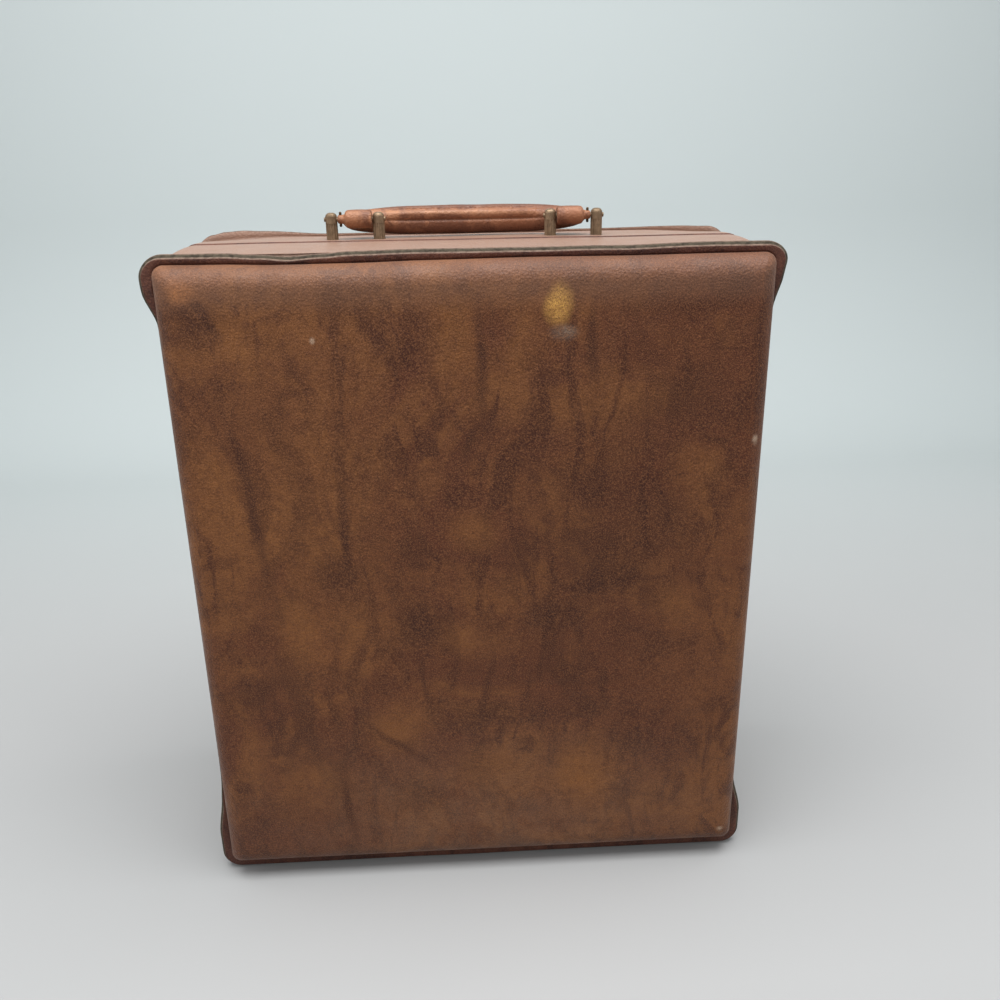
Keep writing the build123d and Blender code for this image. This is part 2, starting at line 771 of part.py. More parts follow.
    with BuildPart() as keeper:
        with BuildSketch(left_side(-keeper_edge - keeper_length / 2, rise)):
            RectangleRounded(keeper_length, 2 * keeper_half_height, plate_corner)
        extrude(amount=plate_thick)
        with BuildSketch(left_side(-stud_y, rise)):
            Rectangle(2 * stud_half_length, 2 * stud_half_height)
        extrude(amount=stud_height)
        seats = [left_side(-stud_y, rise + way * keeper_rivet_rise) for way in (-1, 1)]
        with Locations(*[seat.offset(plate_thick) for seat in seats]):
            Hole(rivet_radius, depth=plate_thick)
    write(keeper, f"keeper_{place}")

latch_grip = plate_thick + wall_stack
write(rivet_group([seat.offset(plate_thick) for seat in lock_seats], latch_grip), "lock_rivets")
write(rivet_group([seat.offset(plate_thick) for seat in keeper_seats], latch_grip), "keeper_rivets")
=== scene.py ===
import math

import bmesh
import bpy
from mathutils import Matrix, Vector, noise


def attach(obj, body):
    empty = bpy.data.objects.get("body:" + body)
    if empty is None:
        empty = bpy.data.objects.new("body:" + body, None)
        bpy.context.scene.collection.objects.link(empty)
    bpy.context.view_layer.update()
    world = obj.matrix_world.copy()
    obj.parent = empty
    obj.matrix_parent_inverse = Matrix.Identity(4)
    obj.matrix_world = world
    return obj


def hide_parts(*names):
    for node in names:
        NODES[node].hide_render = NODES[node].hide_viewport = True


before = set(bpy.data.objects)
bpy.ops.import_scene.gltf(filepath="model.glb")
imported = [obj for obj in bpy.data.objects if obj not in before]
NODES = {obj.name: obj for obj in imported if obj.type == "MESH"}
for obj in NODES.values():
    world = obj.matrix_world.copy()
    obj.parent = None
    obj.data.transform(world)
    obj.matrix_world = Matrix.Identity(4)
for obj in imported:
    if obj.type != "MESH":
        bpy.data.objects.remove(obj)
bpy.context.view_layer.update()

# Sizes of the case, as in the solids
PANEL_HALF = 0.165
PANEL_LOW = 0.0105
PANEL_HIGH = 0.391
PANEL_CORNER = 0.0055
PANEL_ROUND = 0.012
SHELL_WALL = 0.003
CASE_HEIGHT = 0.395
EAR_REACH = 0.0075
SIDE_REACH = 0.002
EAR_CORNER = 0.012
LOW_EAR = (0.026, 0.054)
TOP_EAR = (0.357, 0.376)
BAND_SWELL = 0.001
BAND_TOP = 0.3954
BAND_CORNER = 0.014
BAND_TOP_CORNER = 0.008
INSIDE_CORNER = 0.010
FACE_Y = 0.078
SEAM_Y = 0.065
CORE_Y = 0.063
BAND_Y = 0.0614
FLANGE_Y = 0.0594
SPLIT_Y = 0.0002
CORE_INSET = 0.0003
FACE_INSET = 0.0015
CUT_EDGE = 0.0006
LINING_WALL = 0.0012
LINING_ROUND = 0.0096
LINING_WAVE = 0.0004
LINING_PUCKER = 0.00015
LID_LINING_EDGE = 0.007
BODY_LINING_EDGE = 0.006

# How far wear has lifted or dipped the edges along the top: (place across, height)
FRONT_LIFT = (
    (-0.172, 0.0), (-0.130, 0.0001), (-0.110, -0.0010), (-0.095, -0.0021), (-0.078, -0.0010), (-0.062, 0.0),
    (-0.020, 0.0004), (0.033, 0.0001), (0.086, 0.0002), (0.138, 0.0010), (0.172, 0.0010),
)
REAR_LIFT = (
    (-0.172, 0.0), (-0.161, 0.0012), (-0.154, 0.0027), (-0.142, 0.0034), (-0.130, 0.0030), (-0.088, 0.0008),
    (0.091, 0.0007), (0.141, 0.0015), (0.160, 0.0008), (0.172, 0.0),
)
PANEL_SAG = (
    (-0.165, 0.0010), (-0.130, 0.0013), (-0.102, 0.0020), (-0.062, 0.0019), (-0.020, 0.0012),
    (0.033, 0.0007), (0.086, 0.0010), (0.138, 0.0007), (0.165, 0.0006),
)
# Where each ear has been bent out or in: (side, height, how far, reach along the edge)
EAR_BENDS = (
    (-1, 0.382, -0.0012, 0.010), (-1, 0.050, -0.0018, 0.014),
    (1, 0.390, 0.0013, 0.008), (1, 0.371, -0.0013, 0.009),
)
BAND_SAG = 0.0013
BAND_CORNER_SAG = 0.0022
LID_STEP = 0.0005
LID_STEP_WIDTH = 0.012
EDGE_RIPPLE = 0.0003
SEAM_WANDER = 0.0005
# Where each kind of wear sets in, and over what distance it grows to its full size
SEAM_LIFT_FROM = (CASE_HEIGHT - 0.05, 0.04)
EAR_BEND_FROM = (0.155, 0.01)
PANEL_SAG_FROM = (PANEL_HIGH - 0.04, 0.04)
BAND_CORNER_FROM = (0.115, 0.045)
BAND_WAVE_FROM = (BAND_TOP - 0.01, 0.008)

# Handle
HANDLE_Y = 0.012
HANDLE_Z = 0.407
GRIP_END_X = 0.070
GRIP_SAG = 0.020
GRIP_DROP = 0.0022
GRIP_SQUARENESS = 2.6
GRIP_END_HALF = (0.0023, 0.0024)
GRIP_MIDDLE_HALF = (0.0076, 0.0087)
BARREL_INNER = 0.0554
BARREL_OUTER = 0.0698
BARREL_RADIUS = 0.0053
NECK_INNER = 0.0724
NECK_OUTER = 0.0756
NECK_RADIUS = 0.0025
CROSS_RIVET_X = 0.0740
CROSS_RIVET_RADIUS = 0.0008
CROSS_RIVET_REACH = 0.0044

# Rivets through the band, its lining and the metalwork
SIDE_FACE = PANEL_HALF + BAND_SWELL
RIVET_RADIUS = 0.0012
RIVET_HEAD = 0.0024
RIVET_DOME = 0.0009
RIVET_CLENCH = 0.0020
HINGE_RIVET_Y = 0.0125
HINGE_RISES = (0.096, 0.299)
HINGE_RIVET_PITCH = 0.022
LATCH_RISES = (0.105, 0.290)
LOCK_RIVET_Y = 0.0225
LOCK_RIVET_RISE = 0.019
STUD_Y = 0.0106
KEEPER_RIVET_RISE = 0.0148
LEAF_THICK = 0.001
PLATE_THICK = 0.0012

# Fittings inside
ROOM_HALF = 0.1608
STRAP_FRONT = 0.007
STRAP_THICK = 0.002
STRAP_WIDTH = 0.026
STRAP_Z = 0.2197
STRAP_BOW = 0.0012
SNAP_X = 0.054
BOARD_FACE = -0.0713
BOARD_HALF = 0.148
BOARD_LOW = 0.1477
BOARD_HIGH = 0.3627
BOARD_THICK = 0.0025
BOARD_BACK_INSET = 0.010
LOOP_ROWS = (0.1857, 0.3027)
LOOP_COUNT = 6
LOOP_PITCH = 0.046
LOOP_SPAN = 0.030
LOOP_RISE = 0.0028
LOOP_ELASTIC = 0.0012
LOOP_WIDTH = 0.022

# Photograph's camera, from a fit to the case's edges
CAMERA_PLACE = Vector((-0.0100, -0.57235, 0.4392))
CAMERA_PITCH = math.radians(20.06)
CAMERA_YAW = math.radians(2.783)
CAMERA_ROLL = math.radians(-0.946)
CAMERA_FOCAL_PIXELS = 933.0
IMAGE_PIXELS = 1000.0
SENSOR_MM = 36.0


def smooth_step(value):
    """0 below 0, 1 above 1 and an even curve between them."""
    value = min(1.0, max(0.0, value))
    return value * value * (3 - 2 * value)


def growing(value, start, length):
    """0 up to a start, and 1 from a length past it."""
    return smooth_step((value - start) / length)


def bell(distance, width):
    """1 at no distance, falling to almost nothing at twice the width."""
    return math.exp(-((distance / width) ** 2))


def along(table, x):
    """Value at a place along a table of (place, value), joined by even curves."""
    for (start, first), (end, second) in zip(table, table[1:]):
        if x <= end:
            return first + (second - first) * smooth_step((x - start) / (end - start))
    return table[-1][1]


def ripple(x, y, z, size, seed=0.0):
    """Smooth noise from -1 to 1 with features of one size."""
    return noise.noise(Vector((x / size + seed, y / size - seed, z / size + 2 * seed)))


# Materials: small helpers that add nodes
class Shader:
    """A material's node tree with a principled shader ready to be wired."""

    def __init__(self, name, colour, roughness, metallic=0.0, specular=0.5, coat=0.0, sheen=0.0):
        self.material = bpy.data.materials.new(name)
        self.material.use_nodes = True
        self.tree = self.material.node_tree
        self.shader = self.tree.nodes["Principled BSDF"]
        self.fill(self.shader, {
            "Base Color": (*colour, 1), "Roughness": roughness, "Metallic": metallic, "Sheen Weight": sheen,
            "Specular IOR Level": specular, "Coat Weight": coat, "Coat Roughness": 0.35,
        })
        self.place = self.add("ShaderNodeTexCoord").outputs["Object"]

    def fill(self, node, inputs):
        """Link or set a node's inputs, each given by its name or number."""
        for socket, value in inputs.items():
            if isinstance(value, bpy.types.NodeSocket):
                self.tree.links.new(value, node.inputs[socket])
            else:
                node.inputs[socket].default_value = value

    def add(self, kind, inputs=None, **settings):
        """New node with its settings and its inputs."""
        node = self.tree.nodes.new(kind)
        for key, value in settings.items():
            setattr(node, key, value)
        self.fill(node, inputs or {})
        return node

    def stretch(self, scale, vector=None):
        """Object position scaled by axis, for grain and streaks with a direction."""
        mapping = self.add("ShaderNodeMapping", {"Scale": scale, "Vector": vector or self.place})
        return mapping.outputs["Vector"]

    def warped(self, reach, scale):
        """Object position pushed about by noise, so that marks get ragged edges."""
        cloud = self.add("ShaderNodeTexNoise", {"Scale": scale, "Detail": 5, "Vector": self.place})
        push = self.add(
            "ShaderNodeVectorMath", {0: cloud.outputs["Color"], 1: (reach,) * 3, 2: self.place},
            operation="MULTIPLY_ADD",
        )
        centre = self.add(
            "ShaderNodeVectorMath", {0: push.outputs["Vector"], 1: (reach / 2,) * 3}, operation="SUBTRACT",
        )
        return centre.outputs["Vector"]

    def spot(self, vector, x, z, half_x, half_z, lean=0.0, strength=1.0):
        """Soft oval on the face, leaning by degrees: its strength in the middle and nothing at its rim."""
        inputs = {
            "Location": (x, 0, z), "Rotation": (0, math.radians(lean), 0), "Scale": (half_x, 1, half_z),
            "Vector": vector,
        }
        mapping = self.add("ShaderNodeMapping", inputs, vector_type="TEXTURE")
        length = self.add("ShaderNodeVectorMath", {0: mapping.outputs["Vector"]}, operation="LENGTH")
        return self.span(length.outputs["Value"], 0.1, 1.15, strength, 0.0)

    def noise(self, scale, detail=4.0, roughness=0.55, distortion=0.0, vector=None):
        node = self.add("ShaderNodeTexNoise", {
            "Scale": scale, "Detail": detail, "Roughness": roughness, "Distortion": distortion,
            "Vector": vector or self.place,
        })
        return node.outputs["Fac"]

    def cells(self, scale):
        return self.add("ShaderNodeTexVoronoi", {"Scale": scale, "Vector": self.place}).outputs["Distance"]

    def span(self, value, low, high, to_low=0.0, to_high=1.0):
        inputs = {"Value": value, "From Min": low, "From Max": high, "To Min": to_low, "To Max": to_high}
        return self.add("ShaderNodeMapRange", inputs, interpolation_type="SMOOTHSTEP").outputs["Result"]

    def product(self, first, second):
        return self.add("ShaderNodeMath", {0: first, 1: second}, operation="MULTIPLY").outputs["Value"]

    def mix(self, amount, first, second):
        """Blend two colours, each a colour or an output, by an output."""
        node = self.add("ShaderNodeMix", {"Factor": amount}, data_type="RGBA")
        sockets = [number for number, socket in enumerate(node.inputs) if socket.type == "RGBA"]
        for socket, value in zip(sockets, (first, second)):
            self.fill(node, {socket: (*value, 1) if isinstance(value, tuple) else value})
        return next(socket for socket in node.outputs if socket.type == "RGBA")

    def bump(self, height, depth, before=None):
        inputs = {"Strength": 1.0, "Distance": depth, "Height": height}
        if before:
            inputs["Normal"] = before
        return self.add("ShaderNodeBump", inputs).outputs["Normal"]

    def finish(self, colour=None, roughness=None, normal=None):
        inputs = {"Base Color": colour, "Roughness": roughness, "Normal": normal}
        self.fill(self.shader, {socket: value for socket, value in inputs.items() if value is not None})
        return self.material


def srgb(red, green, blue):
    """Linear colour from 0 to 255 screen values."""
    def linear(value):
        value /= 255
        return value / 12.92 if value <= 0.04045 else ((value + 0.055) / 1.055) ** 2.4
    return (linear(red), linear(green), linear(blue))


# Marks on the photographed face: kind, place across and up, half sizes (m), lean (degrees) and strength
FACE_MARKS = (
    ("tan", -0.09, 0.24, 0.06, 0.15, 0, 0.45),
    ("tan", 0.0, 0.05, 0.15, 0.06, 0, 0.3),
    ("tan", 0.0, 0.372, 0.16, 0.016, 0, 0.35),
    ("dark", 0.08, 0.24, 0.07, 0.1, 0, 0.42),
    # Painted reflection: a grey haze of the pale floor over the lower face
    ("floor_reflection_haze", 0.0, 0.02, 0.2, 0.11, 0, 0.16),
    ("tan", -0.01, 0.348, 0.018, 0.034, 4, 0.7),
    ("tan", 0.028, 0.346, 0.013, 0.024, 0, 0.6),
    ("tan", -0.125, 0.35, 0.01, 0.034, -28, 0.6),
    ("tan", -0.144, 0.27, 0.016, 0.052, -6, 0.7),
    ("tan", -0.105, 0.18, 0.016, 0.036, -16, 0.8),
    ("tan", -0.001, 0.24, 0.02, 0.018, 0, 0.6),
    ("tan", -0.005, 0.173, 0.028, 0.018, 15, 0.6),
    ("tan", -0.05, 0.112, 0.03, 0.024, -35, 0.8),
    ("tan", 0.0, 0.08, 0.026, 0.02, 0, 0.5),
    ("tan", 0.063, 0.072, 0.026, 0.028, 0, 1.0),
    ("tan", -0.11, 0.07, 0.034, 0.032, 0, 0.6),
    ("tan", 0.126, 0.274, 0.022, 0.02, 20, 0.5),
    ("tan", 0.115, 0.192, 0.02, 0.018, 0, 0.5),
    ("dark", 0.005, 0.338, 0.0045, 0.042, -3, 0.9),
    ("dark", -0.002, 0.29, 0.0045, 0.018, 22, 0.8),
    ("dark", 0.065, 0.344, 0.005, 0.032, 0, 0.8),
    ("dark", -0.078, 0.215, 0.022, 0.02, 0, 0.7),
    ("dark", -0.034, 0.182, 0.022, 0.02, 25, 0.9),
    ("dark", -0.073, 0.246, 0.005, 0.052, -2, 0.9),
    ("dark", -0.126, 0.262, 0.0045, 0.076, -7, 0.9),
    ("dark", 0.12, 0.315, 0.022, 0.024, 0, 0.6),
    ("dark", 0.073, 0.212, 0.02, 0.02, 0, 0.6),
    ("dark", 0.04, 0.182, 0.016, 0.022, 0, 0.8),
    ("dark", 0.11, 0.24, 0.024, 0.018, 20, 0.6),
    ("dark", 0.0, 0.122, 0.03, 0.01, 4, 0.6),
    ("dark", 0.06, 0.12, 0.03, 0.01, 0, 0.6),
    ("dark", -0.084, 0.055, 0.0045, 0.036, -2, 0.8),
    ("dark", -0.036, 0.058, 0.02, 0.014, 0, 0.6),
    ("dark", -0.137, 0.138, 0.02, 0.018, 0, 0.5),
    ("dark", -0.053, 0.101, 0.004, 0.036, -48, 0.7),
    ("dark", -0.139, 0.363, 0.0035, 0.016, -25, 0.9),
    ("dark", -0.142, 0.357, 0.012, 0.016, 0, 0.7),
    ("orange", -0.149, 0.378, 0.009, 0.008, 30, 1.0),
    ("ochre", 0.046, 0.368, 0.0085, 0.013, 10, 1.0),
    ("grey", 0.05, 0.353, 0.009, 0.006, 0, 0.55),
    ("pale", 0.158, 0.287, 0.0025, 0.004, 0, 0.7),
    ("pale", -0.082, 0.35, 0.002, 0.0025, 0, 0.6),
    ("pale", 0.154, 0.021, 0.003, 0.002, 0, 0.6),
)
CREASE_WIDTH = 0.006
CREASE_DENT = 0.00035
FOLD_LINES = (0.137, 0.110, 0.067)
FOLD_DENT = 0.00026
FOLD_WIDTH = 0.0022
FOLDS_FROM = (-0.07, 0.06)
FACE_MIDDLE = 0.2
FACE_HALF = 0.19
FACE_CROWN = 0.0004
FACE_SLACK = 0.0005
FACE_PUCKER = 0.00022
VINYL_BASE = srgb(82, 43, 26)
VINYL_TAN = srgb(117, 73, 39)
VINYL_DARK = srgb(54, 24, 15)
MARK_COLOURS = {
    "tan": srgb(132, 84, 43),
    "dark": srgb(44, 19, 13),
    "orange": srgb(176, 112, 62),
    "ochre": srgb(214, 162, 80),
    "grey": srgb(150, 132, 116),
    "pale": srgb(206, 184, 160),
    # Painted reflection haze of the pale floor
    "floor_reflection_haze": srgb(140, 124, 110),
    # Painted highlight for the grip's roll
    "roll_highlight": srgb(204, 152, 116),
    # Painted shade for the grip's underside and top edge
    "painted_shade": srgb(78, 42, 28),
    # Painted highlight for the sheen on the tops of the face and the band
    "top_sheen_highlight": srgb(138, 107, 90),
}
# Painted light and shade by height: heights where one begins and ends, its strength at each, and its colour
# Painted highlight: the face's top rounding and the band's top get lighter towards the top
FACE_TOP_HIGHLIGHT = ((0.362, 0.378, 0.0, 0.22, "top_sheen_highlight"),)
BAND_TOP_HIGHLIGHT = ((0.378, 0.390, 0.0, 0.85, "top_sheen_highlight"),)
# Painted shade on the grip: darker under its belly and along its top edge
GRIP_PAINTED_SHADE = ((0.396, 0.405, 0.85, 0.0, "painted_shade"), (0.4108, 0.4130, 0.0, 0.75, "painted_shade"))
# Painted highlight along the grip's roll: place, half sizes, lean and strength
GRIP_ROLL_HIGHLIGHT = (0.0, 0.4092, 0.060, 0.0016, 1, 0.40)


def vinyl(
    name, base, tan, dark, marks=(), specular=0.22, coat=0.0, sheen=0.13, speckle=1.0, painted_light_by_height=(), highlight_spot=None,
):
    """Mottled brown grained vinyl: clouds, wisps and speckle, marks, painted light and shade that follow the
    height, and a painted highlight spot.
    """
    s = Shader(name, base, 0.5, specular=specular, coat=coat, sheen=sheen)
    s.fill(s.shader, {"Sheen Roughness": 0.35, "Sheen Tint": (*srgb(240, 214, 198), 1)})
    warp = s.warped(0.014, 24)
    cloud = s.noise(11, 6, 0.62, 0.8, warp)
    wisp = s.noise(1.0, 6, 0.64, 1.6, s.stretch((40, 40, 14), vector=warp))
    fleck = s.noise(150, 5, 0.68, 0.2)
    colour = s.mix(s.span(cloud, 0.44, 0.62, 0.0, 0.95), base, tan)
    colour = s.mix(s.span(s.noise(5, 3, 0.6, 0.4), 0.47, 0.60, 0.0, 0.5), colour, tan)
    colour = s.mix(s.span(wisp, 0.47, 0.62, 0.0, 0.85), colour, dark)
    colour = s.mix(s.span(s.noise(34, 5, 0.66, 0.8, warp), 0.50, 0.64, 0.0, 0.6), colour, dark)
    if marks:
        broken = s.span(s.noise(70, 6, 0.66, 0.5), 0.34, 0.56, 0.5, 1.0)
        for kind, *spot in marks:
            colour = s.mix(s.product(s.spot(warp, *spot), broken), colour, MARK_COLOURS[kind])
    bright = tuple((low + high) / 2 for low, high in zip(tan, srgb(160, 108, 74)))
    colour = s.mix(s.span(fleck, 0.44, 0.68, 0.0, 0.35 * speckle), colour, dark)
    colour = s.mix(s.span(s.noise(1500, 2, 0.75), 0.42, 0.64, 0.0, 0.55 * speckle), colour, bright)
    colour = s.mix(s.span(s.noise(1900, 2, 0.75, 0.0, warp), 0.44, 0.62, 0.0, 0.55 * speckle), colour, dark)
    height = s.add("ShaderNodeSeparateXYZ", {"Vector": s.place}).outputs["Z"]
    # Painted light and shade, mixed in by height
    for low, high, first, last, kind in painted_light_by_height:
        colour = s.mix(s.span(height, low, high, first, last), colour, MARK_COLOURS[kind])
    # Painted highlight along the grip's roll
    if highlight_spot:
        colour = s.mix(s.spot(s.place, *highlight_spot), colour, MARK_COLOURS["roll_highlight"])
    normal = s.bump(s.noise(60, 4, 0.5, 0.4), 0.0009)
    normal = s.bump(s.cells(700), 0.00026, normal)
    normal = s.bump(s.noise(1600, 3, 0.6), 0.00018, normal)
    return s.finish(colour, s.span(s.noise(55, 4), 0.3, 0.7, 0.44, 0.60), normal)


def raw_edge(name, base, dark):
    """Cut edge of cloth-backed vinyl: pale, with fuzz and stains along it."""
    s = Shader(name, base, 0.85, specular=0.2)
    colour = s.mix(s.span(s.noise(420, 5), 0.38, 0.7), base, dark)
    return s.finish(colour, None, s.bump(s.noise(1400, 3), 0.0003))


def tarnished(name, bright, dull, dark, metallic=0.85):
    """Dulled brass or bronze: tarnish in clouds, dark specks and rubbed high spots."""
    s = Shader(name, bright, 0.5, metallic=metallic)
    tarnish = s.span(s.noise(260, 5, 0.6), 0.36, 0.66)
    fine = s.noise(1600, 3, 0.6)
    colour = s.mix(tarnish, bright, dull)
    colour = s.mix(s.span(fine, 0.52, 0.75, 0.0, 0.5), colour, dark)
    return s.finish(colour, s.span(tarnish, 0.0, 1.0, 0.40, 0.62), s.bump(fine, 0.0001))


def lining_cloth(name, base, light, dark):
    """Napped brown lining on board, with brushed patches in its pile."""
    s = Shader(name, base, 0.9, specular=0.2, sheen=0.4)
    nap = s.noise(26, 5, 0.6, 0.8)
    colour = s.mix(s.span(nap, 0.35, 0.7), light, dark)
    fuzz = s.noise(1500, 3, 0.7)
    colour = s.mix(s.span(fuzz, 0.42, 0.72, 0.0, 0.45), colour, srgb(150, 120, 90))
    normal = s.bump(nap, 0.0008)
    return s.finish(colour, None, s.bump(fuzz, 0.0003, normal))


def woven_elastic(name):
    """Black-brown woven elastic with a close rib along its length."""
    s = Shader(name, srgb(44, 34, 28), 0.8, specular=0.25, sheen=0.2)
    inputs = {"Scale": 260, "Distortion": 0.6, "Vector": s.place}
    rib = s.add("ShaderNodeTexWave", inputs, wave_type="BANDS", bands_direction="Z").outputs["Fac"]
    cross = s.noise(1.0, 2, 0.5, 0.0, s.stretch((1500, 300, 500)))
    colour = s.mix(rib, srgb(34, 26, 22), srgb(62, 48, 38))
    colour = s.mix(s.span(cross, 0.45, 0.7, 0.0, 0.4), colour, srgb(84, 66, 52))
    return s.finish(colour, None, s.bump(cross, 0.0001, s.bump(rib, 0.0003)))


def sewing_thread(name, base):
    """Waxed sewing thread with a close twist."""
    s = Shader(name, base, 0.6, specular=0.35)
    twist = s.noise(2400, 2, 0.5)
    return s.finish(s.mix(twist, base, srgb(70, 46, 32)), None, s.bump(twist, 0.0001))


def plain_steel(name):
    """Plain rolled steel strip."""
    s = Shader(name, srgb(150, 150, 150), 0.4, metallic=1.0)
    brush = s.noise(1.0, 4, 0.6, 0.0, s.stretch((30, 900, 900)))
    colour = s.mix(brush, srgb(128, 128, 128), srgb(168, 168, 166))
    return s.finish(colour, s.span(brush, 0.3, 0.7, 0.32, 0.5))


def lip_plastic(name):
    """Dark brown moulded lip with a slight sheen and fine scratches."""
    s = Shader(name, srgb(58, 40, 30), 0.45)
    cloud = s.noise(60, 4)
    scratch = s.noise(1.0, 3, 0.6, 0.0, s.stretch((60, 1400, 60)))
    colour = s.mix(cloud, srgb(52, 35, 26), srgb(70, 48, 36))
    colour = s.mix(s.span(scratch, 0.6, 0.75, 0.0, 0.4), colour, srgb(104, 78, 60))
    return s.finish(colour, s.span(cloud, 0.3, 0.7, 0.38, 0.54), s.bump(s.noise(900, 3), 0.0001))


VINYL = vinyl("mottled_vinyl", VINYL_BASE, VINYL_TAN, VINYL_DARK, painted_light_by_height=FACE_TOP_HIGHLIGHT)
FACE_VINYL = vinyl("face_vinyl", VINYL_BASE, VINYL_TAN, VINYL_DARK, FACE_MARKS, painted_light_by_height=FACE_TOP_HIGHLIGHT)
BAND_VINYL = vinyl(
    "band_vinyl", srgb(92, 52, 33), srgb(126, 82, 48), srgb(60, 30, 20), specular=0.4, coat=0.30, sheen=0.22,
    speckle=0.5, painted_light_by_height=BAND_TOP_HIGHLIGHT,
)
# Darker copy of the vinyl: painted shade on the seam flanges and on the band's edge at the parting
SHADED_SEAM_VINYL = vinyl("seam_vinyl_painted_shade", srgb(78, 46, 39), srgb(92, 56, 44), srgb(52, 30, 28), speckle=0.6)
HANDLE_VINYL = vinyl(
    "handle_vinyl", srgb(136, 86, 58), srgb(156, 106, 74), srgb(96, 56, 38), specular=0.4, sheen=0.08,
    speckle=0.3, painted_light_by_height=GRIP_PAINTED_SHADE, highlight_spot=GRIP_ROLL_HIGHLIGHT,
)
RAW_EDGE = raw_edge("raw_edge", srgb(114, 96, 84), srgb(82, 66, 56))
CORE_EDGE = raw_edge("core_edge", srgb(78, 70, 58), srgb(50, 44, 36))
BRASS = tarnished("antique_brass", srgb(132, 110, 86), srgb(110, 91, 70), srgb(90, 74, 58), metallic=0.6)
BRONZE = tarnished("dark_bronze", srgb(92, 72, 50), srgb(62, 50, 36), srgb(40, 34, 26))
LINING = lining_cloth("lining_cloth", srgb(104, 80, 56), srgb(116, 90, 64), srgb(84, 62, 42))
ELASTIC = woven_elastic("woven_elastic")
THREAD = sewing_thread("sewing_thread", srgb(150, 112, 78))
STEEL = plain_steel("plain_steel")
LIP = lip_plastic("lip_plastic")


# Outlines: rings of points with the same count on each side and corner, so any two can be joined
SIDE_STEPS = 110
RISE_STEPS = 126
CORNER_STEPS = 14


def outline(half_at, low, high, corner, top_corner=None):
    """Ring in X and Z, counter-clockwise from the low left. Its half-width may change with height."""
    top = corner if top_corner is None else top_corner
    foot, head = half_at(low), half_at(high)
    turns = [math.pi / 2 * step / CORNER_STEPS for step in range(CORNER_STEPS)]
    rise = high - low - corner - top
    ring = []
    for step in range(SIDE_STEPS):
        ring.append((-(foot - corner) + 2 * (foot - corner) * step / SIDE_STEPS, low))
    for turn in turns:
        ring.append((foot - corner + corner * math.sin(turn), low + corner - corner * math.cos(turn)))
    for step in range(RISE_STEPS):
        z = low + corner + rise * step / RISE_STEPS
        ring.append((half_at(z), z))
    for turn in turns:
        ring.append((head - top + top * math.cos(turn), high - top + top * math.sin(turn)))
    for step in range(SIDE_STEPS):
        ring.append((head - top - 2 * (head - top) * step / SIDE_STEPS, high))
    for turn in turns:
        ring.append((-(head - top) - top * math.sin(turn), high - top + top * math.cos(turn)))
    for step in range(RISE_STEPS):
        z = high - top - rise * step / RISE_STEPS
        ring.append((-half_at(z), z))
    for turn in turns:
        ring.append((-(foot - corner) - corner * math.cos(turn), low + corner - corner * math.sin(turn)))
    return ring


def panel_ring(margin, corner):
    """Outline of the face panel, grown by a margin."""
    return outline(lambda z: PANEL_HALF + margin, PANEL_LOW - margin, PANEL_HIGH + margin, corner)


def band_ring(inset):
    """Outline of the side band, shrunk by an inset."""
    half = SIDE_FACE - inset
    low, high = PANEL_LOW - BAND_SWELL + inset, BAND_TOP - inset
    return outline(lambda z: half, low, high, BAND_CORNER - inset, BAND_TOP_CORNER - inset)


def room_ring(inset):
    """Outline of the space inside the case, shrunk by an inset."""
    return panel_ring(-SHELL_WALL - inset, max(INSIDE_CORNER - inset, 0))


def seam_half(z, inset):
    """Half-width of a seam at a height: full at the ears, slim between them."""
    ear = max(
        smooth_step((LOW_EAR[1] - z) / (LOW_EAR[1] - LOW_EAR[0])),
        smooth_step((z - TOP_EAR[0]) / (TOP_EAR[1] - TOP_EAR[0])),
    )
    reach = SIDE_REACH + (EAR_REACH - SIDE_REACH) * ear - inset
    return PANEL_HALF + max(reach, 0.0004)


def seam_wave(x, z, side):
    """How far wear has lifted or dipped a seam's top edge: one pinch in front, a lift behind."""
    lift = along(FRONT_LIFT if side < 0 else REAR_LIFT, x) + EDGE_RIPPLE * ripple(x, side, z, 0.03, 3.1)
    return growing(z, *SEAM_LIFT_FROM) * lift


def ear_push(x, z):
    """How far an ear has been bent out or in: each corner has worn in its own way."""
    push = sum(bend * bell(z - rise, reach) for side, rise, bend, reach in EAR_BENDS if side * x > 0)
    return push * growing(abs(x), *EAR_BEND_FROM)


def seam_ring(inset, side):
    """Outline of a seam's layer, with the dips and lifts of wear."""
    ring = outline(lambda z: seam_half(z, inset), inset, CASE_HEIGHT - inset, EAR_CORNER - inset)
    return [(x + ear_push(x, z), z + seam_wave(x, z, side)) for x, z in ring]


def seam_depth(points, depth, side):
    """Depths of a seam ring, gently bent in and out along its length."""
    return [depth + SEAM_WANDER * ripple(x, 0.3 * side, z, 0.05, 7.7) for x, z in points]


def seam_level(inset, depth, side):
    """A ring of a seam's layer near one depth."""
    points = seam_ring(inset, side)
    return (points, seam_depth(points, depth, side))


def level(points, depth):
    """A ring at one depth."""
    return (points, [depth] * len(points))


def between(first, second, share):
    """Ring part of the way from one to another."""
    return [(a[0] + (b[0] - a[0]) * share, a[1] + (b[1] - a[1]) * share) for a, b in zip(first, second)]


def placed(name, data):
    """Object in the scene that holds a mesh, a lamp or a camera."""
    piece = bpy.data.objects.new(name, data)
    bpy.context.scene.collection.objects.link(piece)
    return piece


def finished(name, mesh, *materials):
    """Object from a mesh in the making, with its doubled points joined and its faces turned outward."""
    bmesh.ops.remove_doubles(mesh, verts=mesh.verts, dist=0.000002)
    bmesh.ops.recalc_face_normals(mesh, faces=mesh.faces)
    for face in mesh.faces:
        face.smooth = True
    data = bpy.data.meshes.new(name)
    mesh.to_mesh(data)
    mesh.free()
    for material in materials:
        data.materials.append(material)
    return placed(name, data)


